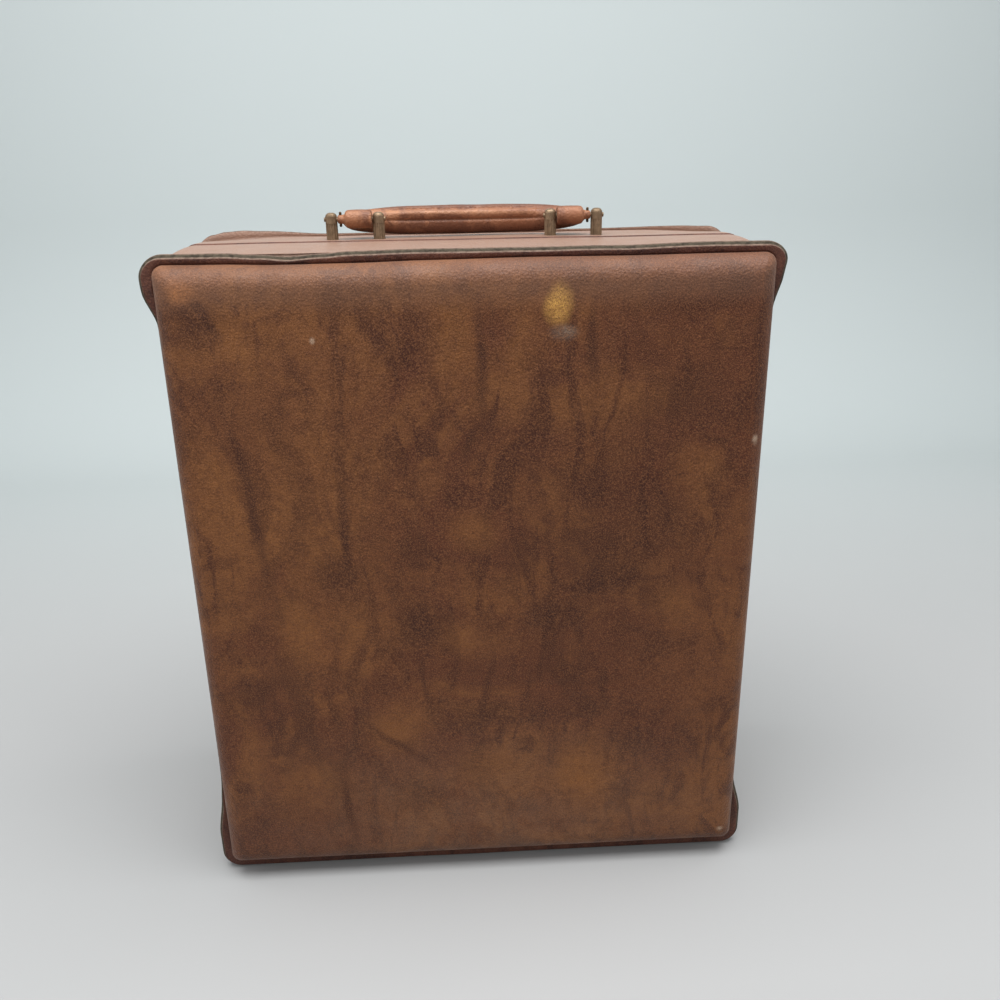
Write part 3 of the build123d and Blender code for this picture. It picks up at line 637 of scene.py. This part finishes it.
def add_rings(mesh, rings, side, slot_of=None):
    """Faces through rings of (points, depths). side -1 keeps the near half, 1 mirrors it to the far half."""
    loops = []
    for points, depth in rings:
        loops.append([mesh.verts.new((x, side * y, z)) for (x, z), y in zip(points, depth)])
    for number, (inner, outer) in enumerate(zip(loops, loops[1:])):
        for step in range(len(inner)):
            following = (step + 1) % len(inner)
            face = mesh.faces.new([inner[step], inner[following], outer[following], outer[step]])
            face.material_index = slot_of(number) if slot_of else 0


def slots(edge_rows, shaded_rows):
    """Material slot of each row of faces: 1 for the raw edge, 2 for the darker vinyl of painted shade and 0
    for the rest.
    """
    return lambda row: 1 if row in edge_rows else 2 if row in shaded_rows else 0


def add_tube(mesh, loops):
    """Faces through closed loops of points, and one at each end."""
    for first, second in zip(loops, loops[1:]):
        for step in range(len(first)):
            following = (step + 1) % len(first)
            mesh.faces.new([first[step], first[following], second[following], second[step]])
    mesh.faces.new(loops[0][::-1])
    mesh.faces.new(loops[-1])


def add_flat(mesh, half, low, high, depth_at, side):
    """Fine grid that fills the flat of a panel out to its border ring."""
    lines = []
    for row in range(RISE_STEPS + 1):
        z = low + (high - low) * row / RISE_STEPS
        places = [-half + 2 * half * column / SIDE_STEPS for column in range(SIDE_STEPS + 1)]
        lines.append([mesh.verts.new((x, side * depth_at(x, z), z)) for x in places])
    for below, above in zip(lines, lines[1:]):
        for column in range(SIDE_STEPS):
            mesh.faces.new([below[column], below[column + 1], above[column + 1], above[column]])


def face_relief(x, z, side):
    """How far the padded face stands out: a slight crown, slack puckers and the dents of its creases."""
    crown = FACE_CROWN * (1 - (x / PANEL_HALF) ** 2) * (1 - ((z - FACE_MIDDLE) / FACE_HALF) ** 2)
    slack = FACE_SLACK * ripple(x, side, z, 0.07, 1.3)
    slack += FACE_PUCKER * ripple(x * 1.6, side, z * 0.7, 0.018, 4.4)
    dent = 0.0
    if side < 0:
        for kind, mark_x, mark_z, half_x, half_z, lean, strength in FACE_MARKS:
            if kind == "dark" and half_x < CREASE_WIDTH:
                turn = math.radians(lean)
                across = (x - mark_x) * math.cos(turn) - (z - mark_z) * math.sin(turn)
                down = (x - mark_x) * math.sin(turn) + (z - mark_z) * math.cos(turn)
                dent += CREASE_DENT * strength * bell(across, half_x) * bell(down, half_z)
        for number, rise in enumerate(FOLD_LINES):
            fold = FOLD_DENT / (1 + 0.4 * number) * bell(z - rise - 0.01 * x, FOLD_WIDTH)
            dent += fold * growing(x, *FOLDS_FROM)
    return crown + slack - dent


def sagged(points):
    """Panel ring with the top edge settled below its true height."""
    return [(x, z - along(PANEL_SAG, x) * growing(z, *PANEL_SAG_FROM)) for x, z in points]


def panel_skin(name, side, face_material):
    """Vinyl of one face panel: the padded face, its rounded edge, the crease and the outer seam flange;
    flange and crease take the darker vinyl of painted shade.
    """
    wall = sagged(panel_ring(0, PANEL_CORNER))
    crease = sagged(panel_ring(0.0003, PANEL_CORNER + 0.0003))
    crest = FACE_INSET + CUT_EDGE
    lip = seam_ring(crest + 0.0002, side)
    rings = [
        level(room_ring(0), CORE_Y),
        seam_level(FACE_INSET + 0.0002, CORE_Y, side),
        seam_level(FACE_INSET, CORE_Y + 0.0004, side),
        seam_level(FACE_INSET + 0.0002, SEAM_Y - 0.0009, side),
        seam_level(crest, SEAM_Y, side),
        (lip, seam_depth(lip, SEAM_Y + 0.0001, side)),
    ]
    for share in (0.35, 0.7):
        ring = between(lip, crease, share)
        rings.append((ring, seam_depth(ring, SEAM_Y - 0.0002 * share, side)))
    rings.append(level(crease, SEAM_Y - 0.0005))
    rings.append(level(sagged(panel_ring(0.0001, PANEL_CORNER)), SEAM_Y - 0.0014))
    rings.append(level(wall, SEAM_Y + 0.0002))
    for step in range(11):
        turn = math.pi / 2 * step / 10
        inset = PANEL_ROUND * (1 - math.cos(turn))
        ring = sagged(panel_ring(-inset, PANEL_CORNER - 0.2 * inset))
        depth = FACE_Y - PANEL_ROUND * (1 - math.sin(turn))
        share = smooth_step(step / 10)
        rings.append((ring, [depth + share * face_relief(x, z, side) for x, z in ring]))
    border_inset = PANEL_ROUND + 0.004
    border = panel_ring(-border_inset, 0)
    rings.append((border, [FACE_Y + face_relief(x, z, side) for x, z in border]))
    mesh = bmesh.new()
    # Seam flange and crease rows take the darker vinyl: painted shade
    add_rings(mesh, rings, side, slots(range(1, 4), range(4, 10)))
    add_flat(
        mesh, PANEL_HALF - border_inset, PANEL_LOW + border_inset, PANEL_HIGH - border_inset,
        lambda x, z: FACE_Y + face_relief(x, z, side), side,
    )
    return finished(name, mesh, face_material, RAW_EDGE, SHADED_SEAM_VINYL)


def core_skin(name, side):
    """Stiff core of a seam: its dark edge stands above the pale cut edge in front of it."""
    inner = room_ring(0)
    rings = [
        level(inner, BAND_Y),
        seam_level(CORE_INSET + 0.0001, BAND_Y, side),
        seam_level(CORE_INSET, BAND_Y + 0.0003, side),
        seam_level(CORE_INSET, CORE_Y - 0.0003, side),
        seam_level(CORE_INSET + 0.0001, CORE_Y, side),
        level(inner, CORE_Y),
        level(inner, BAND_Y),
    ]
    mesh = bmesh.new()
    add_rings(mesh, rings, side)
    return finished(name, mesh, CORE_EDGE)


def band_wave(x, z, depth, side):
    """How far the band's top is from flat: it falls away to the seam, and the lid's edge is the lower."""
    fall = (BAND_SAG + BAND_CORNER_SAG * growing(abs(x), *BAND_CORNER_FROM)) * (depth / FLANGE_Y) ** 2
    step = LID_STEP * bell(depth, LID_STEP_WIDTH) if side < 0 else 0
    return growing(z, *BAND_WAVE_FROM) * (EDGE_RIPPLE * ripple(x, side * depth, z, 0.04, 9.2) - fall - step)


BAND_DEPTHS = (0.057, 0.054, 0.050, 0.045, 0.040, 0.034, 0.028, 0.022, 0.016, 0.011, 0.007, 0.004)


def band_skin(name, side):
    """Vinyl of one side band: the inner seam flange, the crease, the wall and the edge at the parting, which
    takes the darker vinyl of painted shade.
    """
    wall = band_ring(0)
    low_wall = [(x, z + band_wave(x, z, FLANGE_Y, side)) for x, z in wall]
    inside = room_ring(0)
    lip = seam_ring(0.0003, side)
    turn_in = 0.0016
    rings = [
        level(inside, BAND_Y),
        (lip, seam_depth(lip, BAND_Y, side)),
        seam_level(0, BAND_Y - 0.0003, side),
        seam_level(0, FLANGE_Y + 0.0003, side),
        (lip, seam_depth(lip, FLANGE_Y, side)),
        level(between(lip, low_wall, 0.7), FLANGE_Y + 0.0002),
        level(low_wall, FLANGE_Y + 0.0006),
    ]
    for depth in BAND_DEPTHS:
        rings.append(level([(x, z + band_wave(x, z, depth, side)) for x, z in wall], depth))
    edge_start = len(rings)
    for step in range(6):
        turn = math.pi / 2 * step / 5
        ring = [(x, z + band_wave(x, z, 0.002, side)) for x, z in band_ring(turn_in * (1 - math.cos(turn)))]
        rings.append(level(ring, SPLIT_Y + turn_in * (1 - math.sin(turn))))
    rings.append(level(inside, SPLIT_Y))
    rings.append(level(inside, BAND_Y))
    mesh = bmesh.new()
    # Rounded edge at the parting takes the darker vinyl: painted shade
    add_rings(mesh, rings, side, slots(range(1, 4), range(edge_start, len(rings))))
    return finished(name, mesh, BAND_VINYL, RAW_EDGE, SHADED_SEAM_VINYL)


def stand_for(piece, body, slot, *nodes):
    """Ride a piece on its body, in the place of the solids that it dresses."""
    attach(piece, body)
    if nodes:
        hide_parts(*nodes)


stand_for(panel_skin("front_panel_vinyl", -1, FACE_VINYL), "lid", "vinyl", "front_shell")
stand_for(core_skin("front_seam_core", -1), "lid", "welt_core", "front_welt_core")
stand_for(band_skin("lid_band_vinyl", -1), "lid", "vinyl", "lid_band")
stand_for(panel_skin("rear_panel_vinyl", 1, VINYL), "body", "vinyl", "rear_shell")
stand_for(core_skin("rear_seam_core", 1), "body", "welt_core", "rear_welt_core")
stand_for(band_skin("body_band_vinyl", 1), "body", "vinyl", "body_band")

# Handle: a padded crescent between two barrels
GRIP_RING = 96
GRIP_STATIONS = 130
SEAM_TURN = 0.03
FOLD_TURN = 0.95
ROLL_TURN = (SEAM_TURN + FOLD_TURN) / 2
# Pushes on the grip's section: how far and over what turn
SEAM_PUSH = (-0.0013, 0.085)
ROLL_PUSH = (0.0016, 0.26)
FOLD_PUSH = (-0.0013, 0.13)
GRIP_SLACK = 0.00045
# Half-length of the sewn line, and how far in from its ends it grows to its full depth
SEWN_HALF = 0.056
SEWN_FADE = 0.022


def grip_frame(turn):
    """Centre, outward direction and swell, 0 at the ends, at a turn along the grip's superellipse."""
    cosine, sine = math.cos(turn), max(math.sin(turn), 0.0)
    across = math.copysign(abs(cosine) ** (2 / GRIP_SQUARENESS), cosine)
    back = sine ** (2 / GRIP_SQUARENESS)
    outward = Vector((
        math.copysign(abs(across) ** (GRIP_SQUARENESS - 1), across) / GRIP_END_X,
        back ** (GRIP_SQUARENESS - 1) / GRIP_SAG,
        0,
    )).normalized()
    centre = Vector((GRIP_END_X * across, HANDLE_Y + GRIP_SAG * back, HANDLE_Z - GRIP_DROP * back))
    return centre, outward, sine


def grip_skin():
    """Leathercloth of the crescent: a sewn line along its inner side, a soft roll and a fold above it."""
    mesh = bmesh.new()
    loops = []
    for station in range(GRIP_STATIONS + 1):
        centre, outward, share = grip_frame(math.pi * station / GRIP_STATIONS)
        swell = math.sqrt(share)
        half_width = GRIP_END_HALF[0] + (GRIP_MIDDLE_HALF[0] - GRIP_END_HALF[0]) * swell
        belly = GRIP_END_HALF[1] + (GRIP_MIDDLE_HALF[1] - GRIP_END_HALF[1]) * swell
        crown = GRIP_END_HALF[1] + (GRIP_MIDDLE_HALF[1] - GRIP_END_HALF[1]) * share
        middle = smooth_step((SEWN_HALF - abs(centre.x)) / SEWN_FADE)
        loop = []
        for step in range(GRIP_RING):
            turn = 2 * math.pi * step / GRIP_RING
            turn = turn if turn <= math.pi else turn - 2 * math.pi
            height = (crown if turn > 0 else belly) * math.sin(turn)
            place = centre + outward * (-half_width * math.cos(turn)) + Vector((0, 0, height))
            push = GRIP_SLACK * ripple(place.x, place.y, place.z, 0.020, 5.0) * swell
            for centre_turn, (reach, width) in (
                (SEAM_TURN, SEAM_PUSH), (ROLL_TURN, ROLL_PUSH), (FOLD_TURN, FOLD_PUSH),
            ):
                push += reach * bell(turn - centre_turn, width) * middle
            loop.append(mesh.verts.new(place + (place - centre).normalized() * push))
        loops.append(loop)
    add_tube(mesh, loops)
    return finished("handle_crescent", mesh, HANDLE_VINYL)


def add_turned(mesh, profile, centre, axis, steps):
    """Surface of revolution from (distance along the axis, radius) points, closed at both ends."""
    heading = Vector(axis).normalized()
    first = heading.orthogonal().normalized()
    second = heading.cross(first)
    loops = []
    for distance, radius in profile:
        loop = []
        for step in range(steps):
            turn = 2 * math.pi * step / steps
            spoke = first * math.cos(turn) + second * math.sin(turn)
            loop.append(mesh.verts.new(Vector(centre) + heading * distance + spoke * radius))
        loops.append(loop)
    add_tube(mesh, loops)


def barrel(name, side):
    """Round end of the handle between its two posts, with the thin neck beside the outer post."""
    lead = 0.0011
    shoulder = 0.0024
    profile = [(BARREL_INNER, 0.0018), (BARREL_INNER, BARREL_RADIUS - lead)]
    for step in range(1, 6):
        turn = math.pi / 2 * step / 5
        reach = BARREL_INNER + lead * (1 - math.cos(turn))
        profile.append((reach, BARREL_RADIUS - lead * (1 - math.sin(turn))))
    for share in (0.3, 0.6, 0.85):
        bulge = 0.0002 * math.sin(math.pi * share)
        profile.append((BARREL_INNER + (BARREL_OUTER - BARREL_INNER) * share, BARREL_RADIUS + bulge))
    for step in range(7):
        turn = math.pi / 2 * step / 6
        reach = BARREL_OUTER - 0.0008 + shoulder * math.sin(turn)
        profile.append((reach, BARREL_RADIUS - shoulder * (1 - math.cos(turn))))
    profile += [(NECK_INNER, NECK_RADIUS + 0.0003), (NECK_INNER + 0.0008, NECK_RADIUS)]
    profile += [(NECK_OUTER - 0.0006, NECK_RADIUS), (NECK_OUTER, NECK_RADIUS - 0.0004)]
    mesh = bmesh.new()
    add_turned(mesh, profile, (0, HANDLE_Y, HANDLE_Z), (side, 0, 0), 48)
    return finished(name, mesh, HANDLE_VINYL)


grip = grip_skin()
stand_for(grip, "handle", "vinyl", "handle_grip")
for barrel_name, barrel_side in (("handle_barrel_left", -1), ("handle_barrel_right", 1)):
    stand_for(barrel(barrel_name, barrel_side), "handle", "vinyl")


# Rivets: a shank with a domed head at one end and a flat clench at the other
def dome(start, radius, rise, way=1):
    """Profile of a domed head that begins at a distance along the axis."""
    points = [(start, radius)]
    for step in range(1, 8):
        turn = math.pi / 2 * step / 8
        points.append((start + way * rise * math.sin(turn), radius * math.cos(turn)))
    return points


def rivet_set(name, seats, grip_length, material):
    """Rivets on (place, outward direction) seats, through what they grip."""
    mesh = bmesh.new()
    clench_end = -grip_length - 0.0007
    for place, outward in seats:
        profile = [(clench_end, RIVET_CLENCH * 0.8), (clench_end + 0.0003, RIVET_CLENCH)]
        profile += [(-grip_length, RIVET_CLENCH), (-grip_length, RIVET_RADIUS), (0, RIVET_RADIUS)]
        profile += dome(0, RIVET_HEAD, RIVET_DOME)
        add_turned(mesh, profile, place, outward, 24)
    return finished(name, mesh, material)


def hinge_seats(side):
    """Places of the hinge rivets of one half."""
    x = SIDE_FACE + LEAF_THICK
    steps = (-HINGE_RIVET_PITCH, 0, HINGE_RIVET_PITCH)
    return [((x, side * HINGE_RIVET_Y, rise + step), (1, 0, 0)) for rise in HINGE_RISES for step in steps]


def latch_seats(y, spread):
    """Places of the rivets of the locks or the keepers."""
    x = -SIDE_FACE - PLATE_THICK
    return [((x, y, rise + way * spread), (-1, 0, 0)) for rise in LATCH_RISES for way in (-1, 1)]


WALL_STACK = BAND_SWELL + SHELL_WALL + LINING_WALL
HINGE_GRIP = LEAF_THICK + WALL_STACK
LATCH_GRIP = PLATE_THICK + WALL_STACK
for rivet_name, rivet_body, rivet_seats, rivet_grip in (
    ("hinge_rivets_lid", "lid", hinge_seats(-1), HINGE_GRIP),
    ("hinge_rivets_body", "body", hinge_seats(1), HINGE_GRIP),
    ("lock_rivets", "body", latch_seats(LOCK_RIVET_Y, LOCK_RIVET_RISE), LATCH_GRIP),
    ("keeper_rivets", "lid", latch_seats(-STUD_Y, KEEPER_RIVET_RISE), LATCH_GRIP),
):
    rivets = rivet_set("domed_" + rivet_name, rivet_seats, rivet_grip, BRASS)
    stand_for(rivets, rivet_body, "brass", rivet_name)


def cross_rivets():
    """Two thin rivets with domed tips that lock the handle's necks to their pins."""
    mesh = bmesh.new()
    tip = 0.0007
    for side in (-1, 1):
        profile = dome(-CROSS_RIVET_REACH + tip, CROSS_RIVET_RADIUS, tip, -1)[::-1]
        profile += dome(CROSS_RIVET_REACH - tip, CROSS_RIVET_RADIUS, tip)
        add_turned(mesh, profile, (side * CROSS_RIVET_X, HANDLE_Y, HANDLE_Z), (0, 0, 1), 20)
    return finished("handle_cross_rivets", mesh, BRONZE)


stand_for(cross_rivets(), "handle", "brass", "handle_rivets")


# Linings: napped cloth on board, slack between its edges
def lining_relief(x, z, side):
    """Gentle waves of the glued cloth on the back of the lining."""
    return LINING_WAVE * ripple(x, side, z, 0.055, 2.2) + LINING_PUCKER * ripple(x, side, z, 0.016, 6.1)


def lining_skin(name, side, edge):
    """Lining of one half, with both of its sides, from its open edge to the face panel."""
    outside = 0.0001
    back = FACE_Y - SHELL_WALL
    border = LINING_ROUND + 0.003

    def shell_rings(inset, round_radius, depth, relief):
        rings = [level(room_ring(inset), edge)]
        for step in range(9):
            turn = math.pi / 2 * step / 8
            ring = room_ring(inset + round_radius * (1 - math.cos(turn)))
            y = depth - round_radius * (1 - math.sin(turn))
            share = smooth_step(step / 8) if relief else 0
            rings.append((ring, [y - share * lining_relief(u, v, side) for u, v in ring]))
        ring = panel_ring(-SHELL_WALL - border, 0)
        rings.append((ring, [depth - relief * lining_relief(u, v, side) for u, v in ring]))
        return rings

    outer = shell_rings(outside, LINING_ROUND, back - outside, 0)
    inner = shell_rings(LINING_WALL, LINING_ROUND - LINING_WALL, back - LINING_WALL, 1)
    mesh = bmesh.new()
    add_rings(mesh, outer[::-1] + inner, side)
    half = PANEL_HALF - SHELL_WALL - border
    low, high = PANEL_LOW + SHELL_WALL + border, PANEL_HIGH - SHELL_WALL - border
    add_flat(mesh, half, low, high, lambda x, z: back - outside, side)
    add_flat(mesh, half, low, high, lambda x, z: back - LINING_WALL - lining_relief(x, z, side), side)
    return finished(name, mesh, LINING)


stand_for(lining_skin("lid_lining_cloth", -1, LID_LINING_EDGE), "lid", "lining", "lid_lining")
stand_for(lining_skin("body_lining_cloth", 1, BODY_LINING_EDGE), "body", "lining", "body_lining")


# Strap, board and loops inside, with their sewing
def add_stitches(mesh, points, outward, length=0.0024, gap=0.0010, radius=0.00024):
    """Row of short raised stitches along straight runs between points."""
    for start, end in zip(points, points[1:]):
        start, end = Vector(start), Vector(end)
        way = (end - start).normalized()
        count = int((end - start).length / (length + gap))
        for number in range(count):
            middle = start + way * ((number + 0.5) * (length + gap))
            profile = []
            for step in range(7):
                turn = math.pi * (0.5 + step) / 7
                profile.append((-length / 2 * math.cos(turn), radius * math.sin(turn) ** 0.7))
            add_turned(mesh, profile, middle + Vector(outward) * radius * 0.3, way, 8)


def strap_bow(x):
    """How far the strap stands proud, between its snaps and to the side walls."""
    if abs(x) > SNAP_X:
        return STRAP_BOW * math.sin(math.pi * (abs(x) - SNAP_X) / (ROOM_HALF - SNAP_X))
    return STRAP_BOW * math.cos(math.pi * x / (2 * SNAP_X))


def strap_skin():
    """Vinyl strap across the bottles: rounded edges, a bow between its snaps and the side walls."""
    mesh = bmesh.new()
    columns, ring_steps = 150, 20
    loops = []
    for column in range(columns + 1):
        x = -ROOM_HALF + 2 * ROOM_HALF * column / columns
        loop = []
        for step in range(ring_steps):
            turn = 2 * math.pi * step / ring_steps
            across = math.copysign(abs(math.cos(turn)) ** 0.35, math.cos(turn))
            through = math.copysign(abs(math.sin(turn)) ** 0.6, math.sin(turn))
            y = STRAP_FRONT + STRAP_THICK / 2 + STRAP_THICK / 2 * through - strap_bow(x)
            loop.append(mesh.verts.new((x, y, STRAP_Z + STRAP_WIDTH / 2 * across)))
        loops.append(loop)
    add_tube(mesh, loops)
    return finished("bottle_strap_vinyl", mesh, VINYL)


def strap_stitches():
    """Two rows of stitches near the strap's edges, following its bow."""
    mesh = bmesh.new()
    margin = 0.0030
    for way in (-1, 1):
        points = []
        for column in range(41):
            x = -ROOM_HALF + 0.004 + 2 * (ROOM_HALF - 0.004) * column / 40
            z = STRAP_Z + way * (STRAP_WIDTH / 2 - margin)
            points.append((x, STRAP_FRONT - strap_bow(x) + 0.0001, z))
        add_stitches(mesh, points, (0, -1, 0))
    return finished("bottle_strap_stitches", mesh, THREAD)


def board_skin():
    """Padded cloth cover of the tool board, pulled in at its rounded edge."""
    mesh = bmesh.new()
    edge_round = 0.0022
    back = -BOARD_FACE + BOARD_THICK

    def board_ring(inset, corner):
        return outline(lambda z: BOARD_HALF - inset, BOARD_LOW + inset, BOARD_HIGH - inset, corner)

    def pad(x, z):
        return -BOARD_FACE + 0.0001 * ripple(x, 0, z, 0.03, 8.0)

    rings = [level(board_ring(BOARD_BACK_INSET, 0), back), level(board_ring(0, LINING_ROUND), back)]
    for step in range(7):
        turn = math.pi / 2 * step / 6
        inset = edge_round * (1 - math.cos(turn))
        depth = -BOARD_FACE + edge_round * (1 - math.sin(turn))
        rings.append(level(board_ring(inset, LINING_ROUND - inset), depth))
    inset = LINING_ROUND + 0.002
    border = board_ring(inset, 0)
    rings.append((border, [pad(x, z) for x, z in border]))
    add_rings(mesh, rings, -1)
    for margin, depth_at in ((inset, pad), (BOARD_BACK_INSET, lambda x, z: back)):
        add_flat(mesh, BOARD_HALF - margin, BOARD_LOW + margin, BOARD_HIGH - margin, depth_at, -1)
    return finished("tool_board_cloth", mesh, LINING)


def loop_heights(x):
    """Heights of the elastic's under and outer sides above the board, at a place along the strip."""
    middle = (math.floor(x / LOOP_PITCH) + 0.5) * LOOP_PITCH
    outer_arch = max(0.0, 1 - (2 * (x - middle) / LOOP_SPAN) ** 2)
    inner_arch = max(0.0, 1 - (2 * (x - middle) / (LOOP_SPAN - 2 * LOOP_ELASTIC)) ** 2)
    return LOOP_RISE * inner_arch, LOOP_ELASTIC + LOOP_RISE * outer_arch


def loop_strip(number, row):
    """One strip of elastic, sewn flat between its loops."""
    mesh = bmesh.new()
    half = LOOP_COUNT * LOOP_PITCH / 2
    columns = 276
    edge = 0.0006
    loops = []
    for column in range(columns + 1):
        x = -half + 2 * half * column / columns
        under, outer = loop_heights(min(max(x, -half + 1e-6), half - 1e-6))
        wave = 0.00025 * ripple(x, number, row, 0.03, 3.3)
        centre = (under + outer) / 2
        points = [(under, edge), (under, LOOP_WIDTH - edge), (centre, LOOP_WIDTH)]
        points += [(outer, LOOP_WIDTH - edge), (outer, LOOP_WIDTH / 2), (outer, edge), (centre, 0)]
        loops.append([mesh.verts.new((x, BOARD_FACE + height, row + wave + z)) for height, z in points])
    add_tube(mesh, loops)
    return finished(f"tool_loop_elastic_{number}", mesh, ELASTIC)


def loop_stitches():
    """Box of stitches in each flat of the elastic, and one at each end."""
    mesh = bmesh.new()
    half = LOOP_COUNT * LOOP_PITCH / 2
    flat = (LOOP_PITCH - LOOP_SPAN) / 2
    y = BOARD_FACE + LOOP_ELASTIC
    for row in LOOP_ROWS:
        low, high = row + 0.002, row + LOOP_WIDTH - 0.002
        for number in range(LOOP_COUNT + 1):
            x = -half + number * LOOP_PITCH
            left = max(x - flat + 0.002, -half + 0.0015)
            right = min(x + flat - 0.002, half - 0.0015)
            box = [(left, y, low), (right, y, low), (right, y, high), (left, y, high), (left, y, low)]
            add_stitches(mesh, box, (0, 1, 0), length=0.0018, gap=0.0008, radius=0.0002)
    return finished("tool_loop_stitches", mesh, THREAD)


stand_for(strap_skin(), "body", "vinyl", "bottle_strap")
stand_for(strap_stitches(), "body", "vinyl")
stand_for(board_skin(), "lid", "lining", "tool_board")
stand_for(loop_strip(0, LOOP_ROWS[0]), "lid", "elastic", "tool_loops")
stand_for(loop_strip(1, LOOP_ROWS[1]), "lid", "elastic")
stand_for(loop_stitches(), "lid", "elastic")

# Finishes of the solids that stay as they are
FINISH = {
    "bottle_divider_left": LINING,
    "bottle_divider_right": LINING,
    "cup_rack": LINING,
    "body_lip": LIP,
    "handle_mount_plate": STEEL,
}
for name, node in NODES.items():
    node.data.materials.clear()
    node.data.materials.append(FINISH.get(name, BRASS))


# Floor, backdrop, lamps and camera
STAGE_HALF = 2.2
STAGE_FRONT = -1.6
STAGE_BEND = 0.75
STAGE_CURVE = 0.35
STAGE_HEIGHT = 2.2
# Lamps: name, place, aim, size (m) and power (W)
LAMPS = (
    ("top_lamp", (0.0, -0.25, 1.5), (0, 0, 0.3), (1.6, 1.0), 36),
    ("front_lamp", (-0.4, -1.5, 1.0), (0, 0, 0.2), (1.4, 1.2), 7),
    ("right_lamp", (1.3, -0.3, 0.7), (0, 0, 0.2), (1.0, 1.0), 4),
    ("left_lamp", (-1.3, -0.3, 0.7), (0, 0, 0.2), (1.0, 1.0), 4),
)
AIR_COLOUR = srgb(214, 220, 224)
AIR_STRENGTH = 0.35


def studio_surface():
    """Plain pale grey of the floor and the backdrop."""
    s = Shader("studio_paper", srgb(180, 184, 184), 0.9, specular=0.1)
    depth = s.add("ShaderNodeSeparateXYZ", {"Vector": s.place}).outputs["Y"]
    floor = s.mix(s.noise(3, 2), srgb(162, 163, 163), srgb(167, 167, 167))
    return s.finish(s.mix(s.span(depth, 0.1, 1.0), floor, srgb(190, 197, 197)), None, None)


def backdrop():
    """Floor that curves up into a wall behind the case."""
    profile = [(STAGE_FRONT, 0.0), (STAGE_BEND, 0.0)]
    for step in range(1, 13):
        turn = math.pi / 2 * step / 12
        profile.append((STAGE_BEND + STAGE_CURVE * math.sin(turn), STAGE_CURVE * (1 - math.cos(turn))))
    profile.append((STAGE_BEND + STAGE_CURVE, STAGE_HEIGHT))
    data = bpy.data.meshes.new("studio_floor")
    verts = [(x, y, z) for y, z in profile for x in (-STAGE_HALF, STAGE_HALF)]
    faces = [(2 * i, 2 * i + 1, 2 * i + 3, 2 * i + 2) for i in range(len(profile) - 1)]
    data.from_pydata(verts, [], faces)
    for polygon in data.polygons:
        polygon.use_smooth = True
    data.materials.append(studio_surface())
    placed("studio_floor", data)


def lamp(name, place, target, size, power):
    """Soft rectangular lamp aimed at a point."""
    light = bpy.data.lights.new(name, "AREA")
    light.shape = "RECTANGLE"
    light.size, light.size_y = size
    light.energy = power
    piece = placed(name, light)
    piece.location = place
    piece.rotation_euler = (Vector(target) - Vector(place)).to_track_quat("-Z", "Y").to_euler()


backdrop()
for settings in LAMPS:
    lamp(*settings)
world = bpy.data.worlds.new("studio_air")
world.use_nodes = True
air = world.node_tree.nodes["Background"].inputs
air["Color"].default_value = (*AIR_COLOUR, 1)
air["Strength"].default_value = AIR_STRENGTH
bpy.context.scene.world = world


def photo_camera():
    """Camera of the photograph: its place, pitch, yaw, roll and focal length."""
    pitch_cos, pitch_sin = math.cos(CAMERA_PITCH), math.sin(CAMERA_PITCH)
    yaw_cos, yaw_sin = math.cos(CAMERA_YAW), math.sin(CAMERA_YAW)
    ahead = Vector((yaw_sin * pitch_cos, yaw_cos * pitch_cos, -pitch_sin))
    right = Vector((yaw_cos, -yaw_sin, 0))
    up = right.cross(ahead)
    roll_cos, roll_sin = math.cos(CAMERA_ROLL), math.sin(CAMERA_ROLL)
    rolled_right = right * roll_cos + up * roll_sin
    rolled_up = up * roll_cos - right * roll_sin
    camera = bpy.data.cameras.new("photo_camera")
    camera.sensor_width = SENSOR_MM
    camera.lens = SENSOR_MM * CAMERA_FOCAL_PIXELS / IMAGE_PIXELS
    piece = placed("photo_camera", camera)
    turn = Matrix((rolled_right, rolled_up, -ahead)).transposed().to_4x4()
    piece.matrix_world = Matrix.Translation(CAMERA_PLACE) @ turn
    bpy.context.scene.camera = piece


photo_camera()
bpy.context.scene.view_settings.view_transform = "Standard"
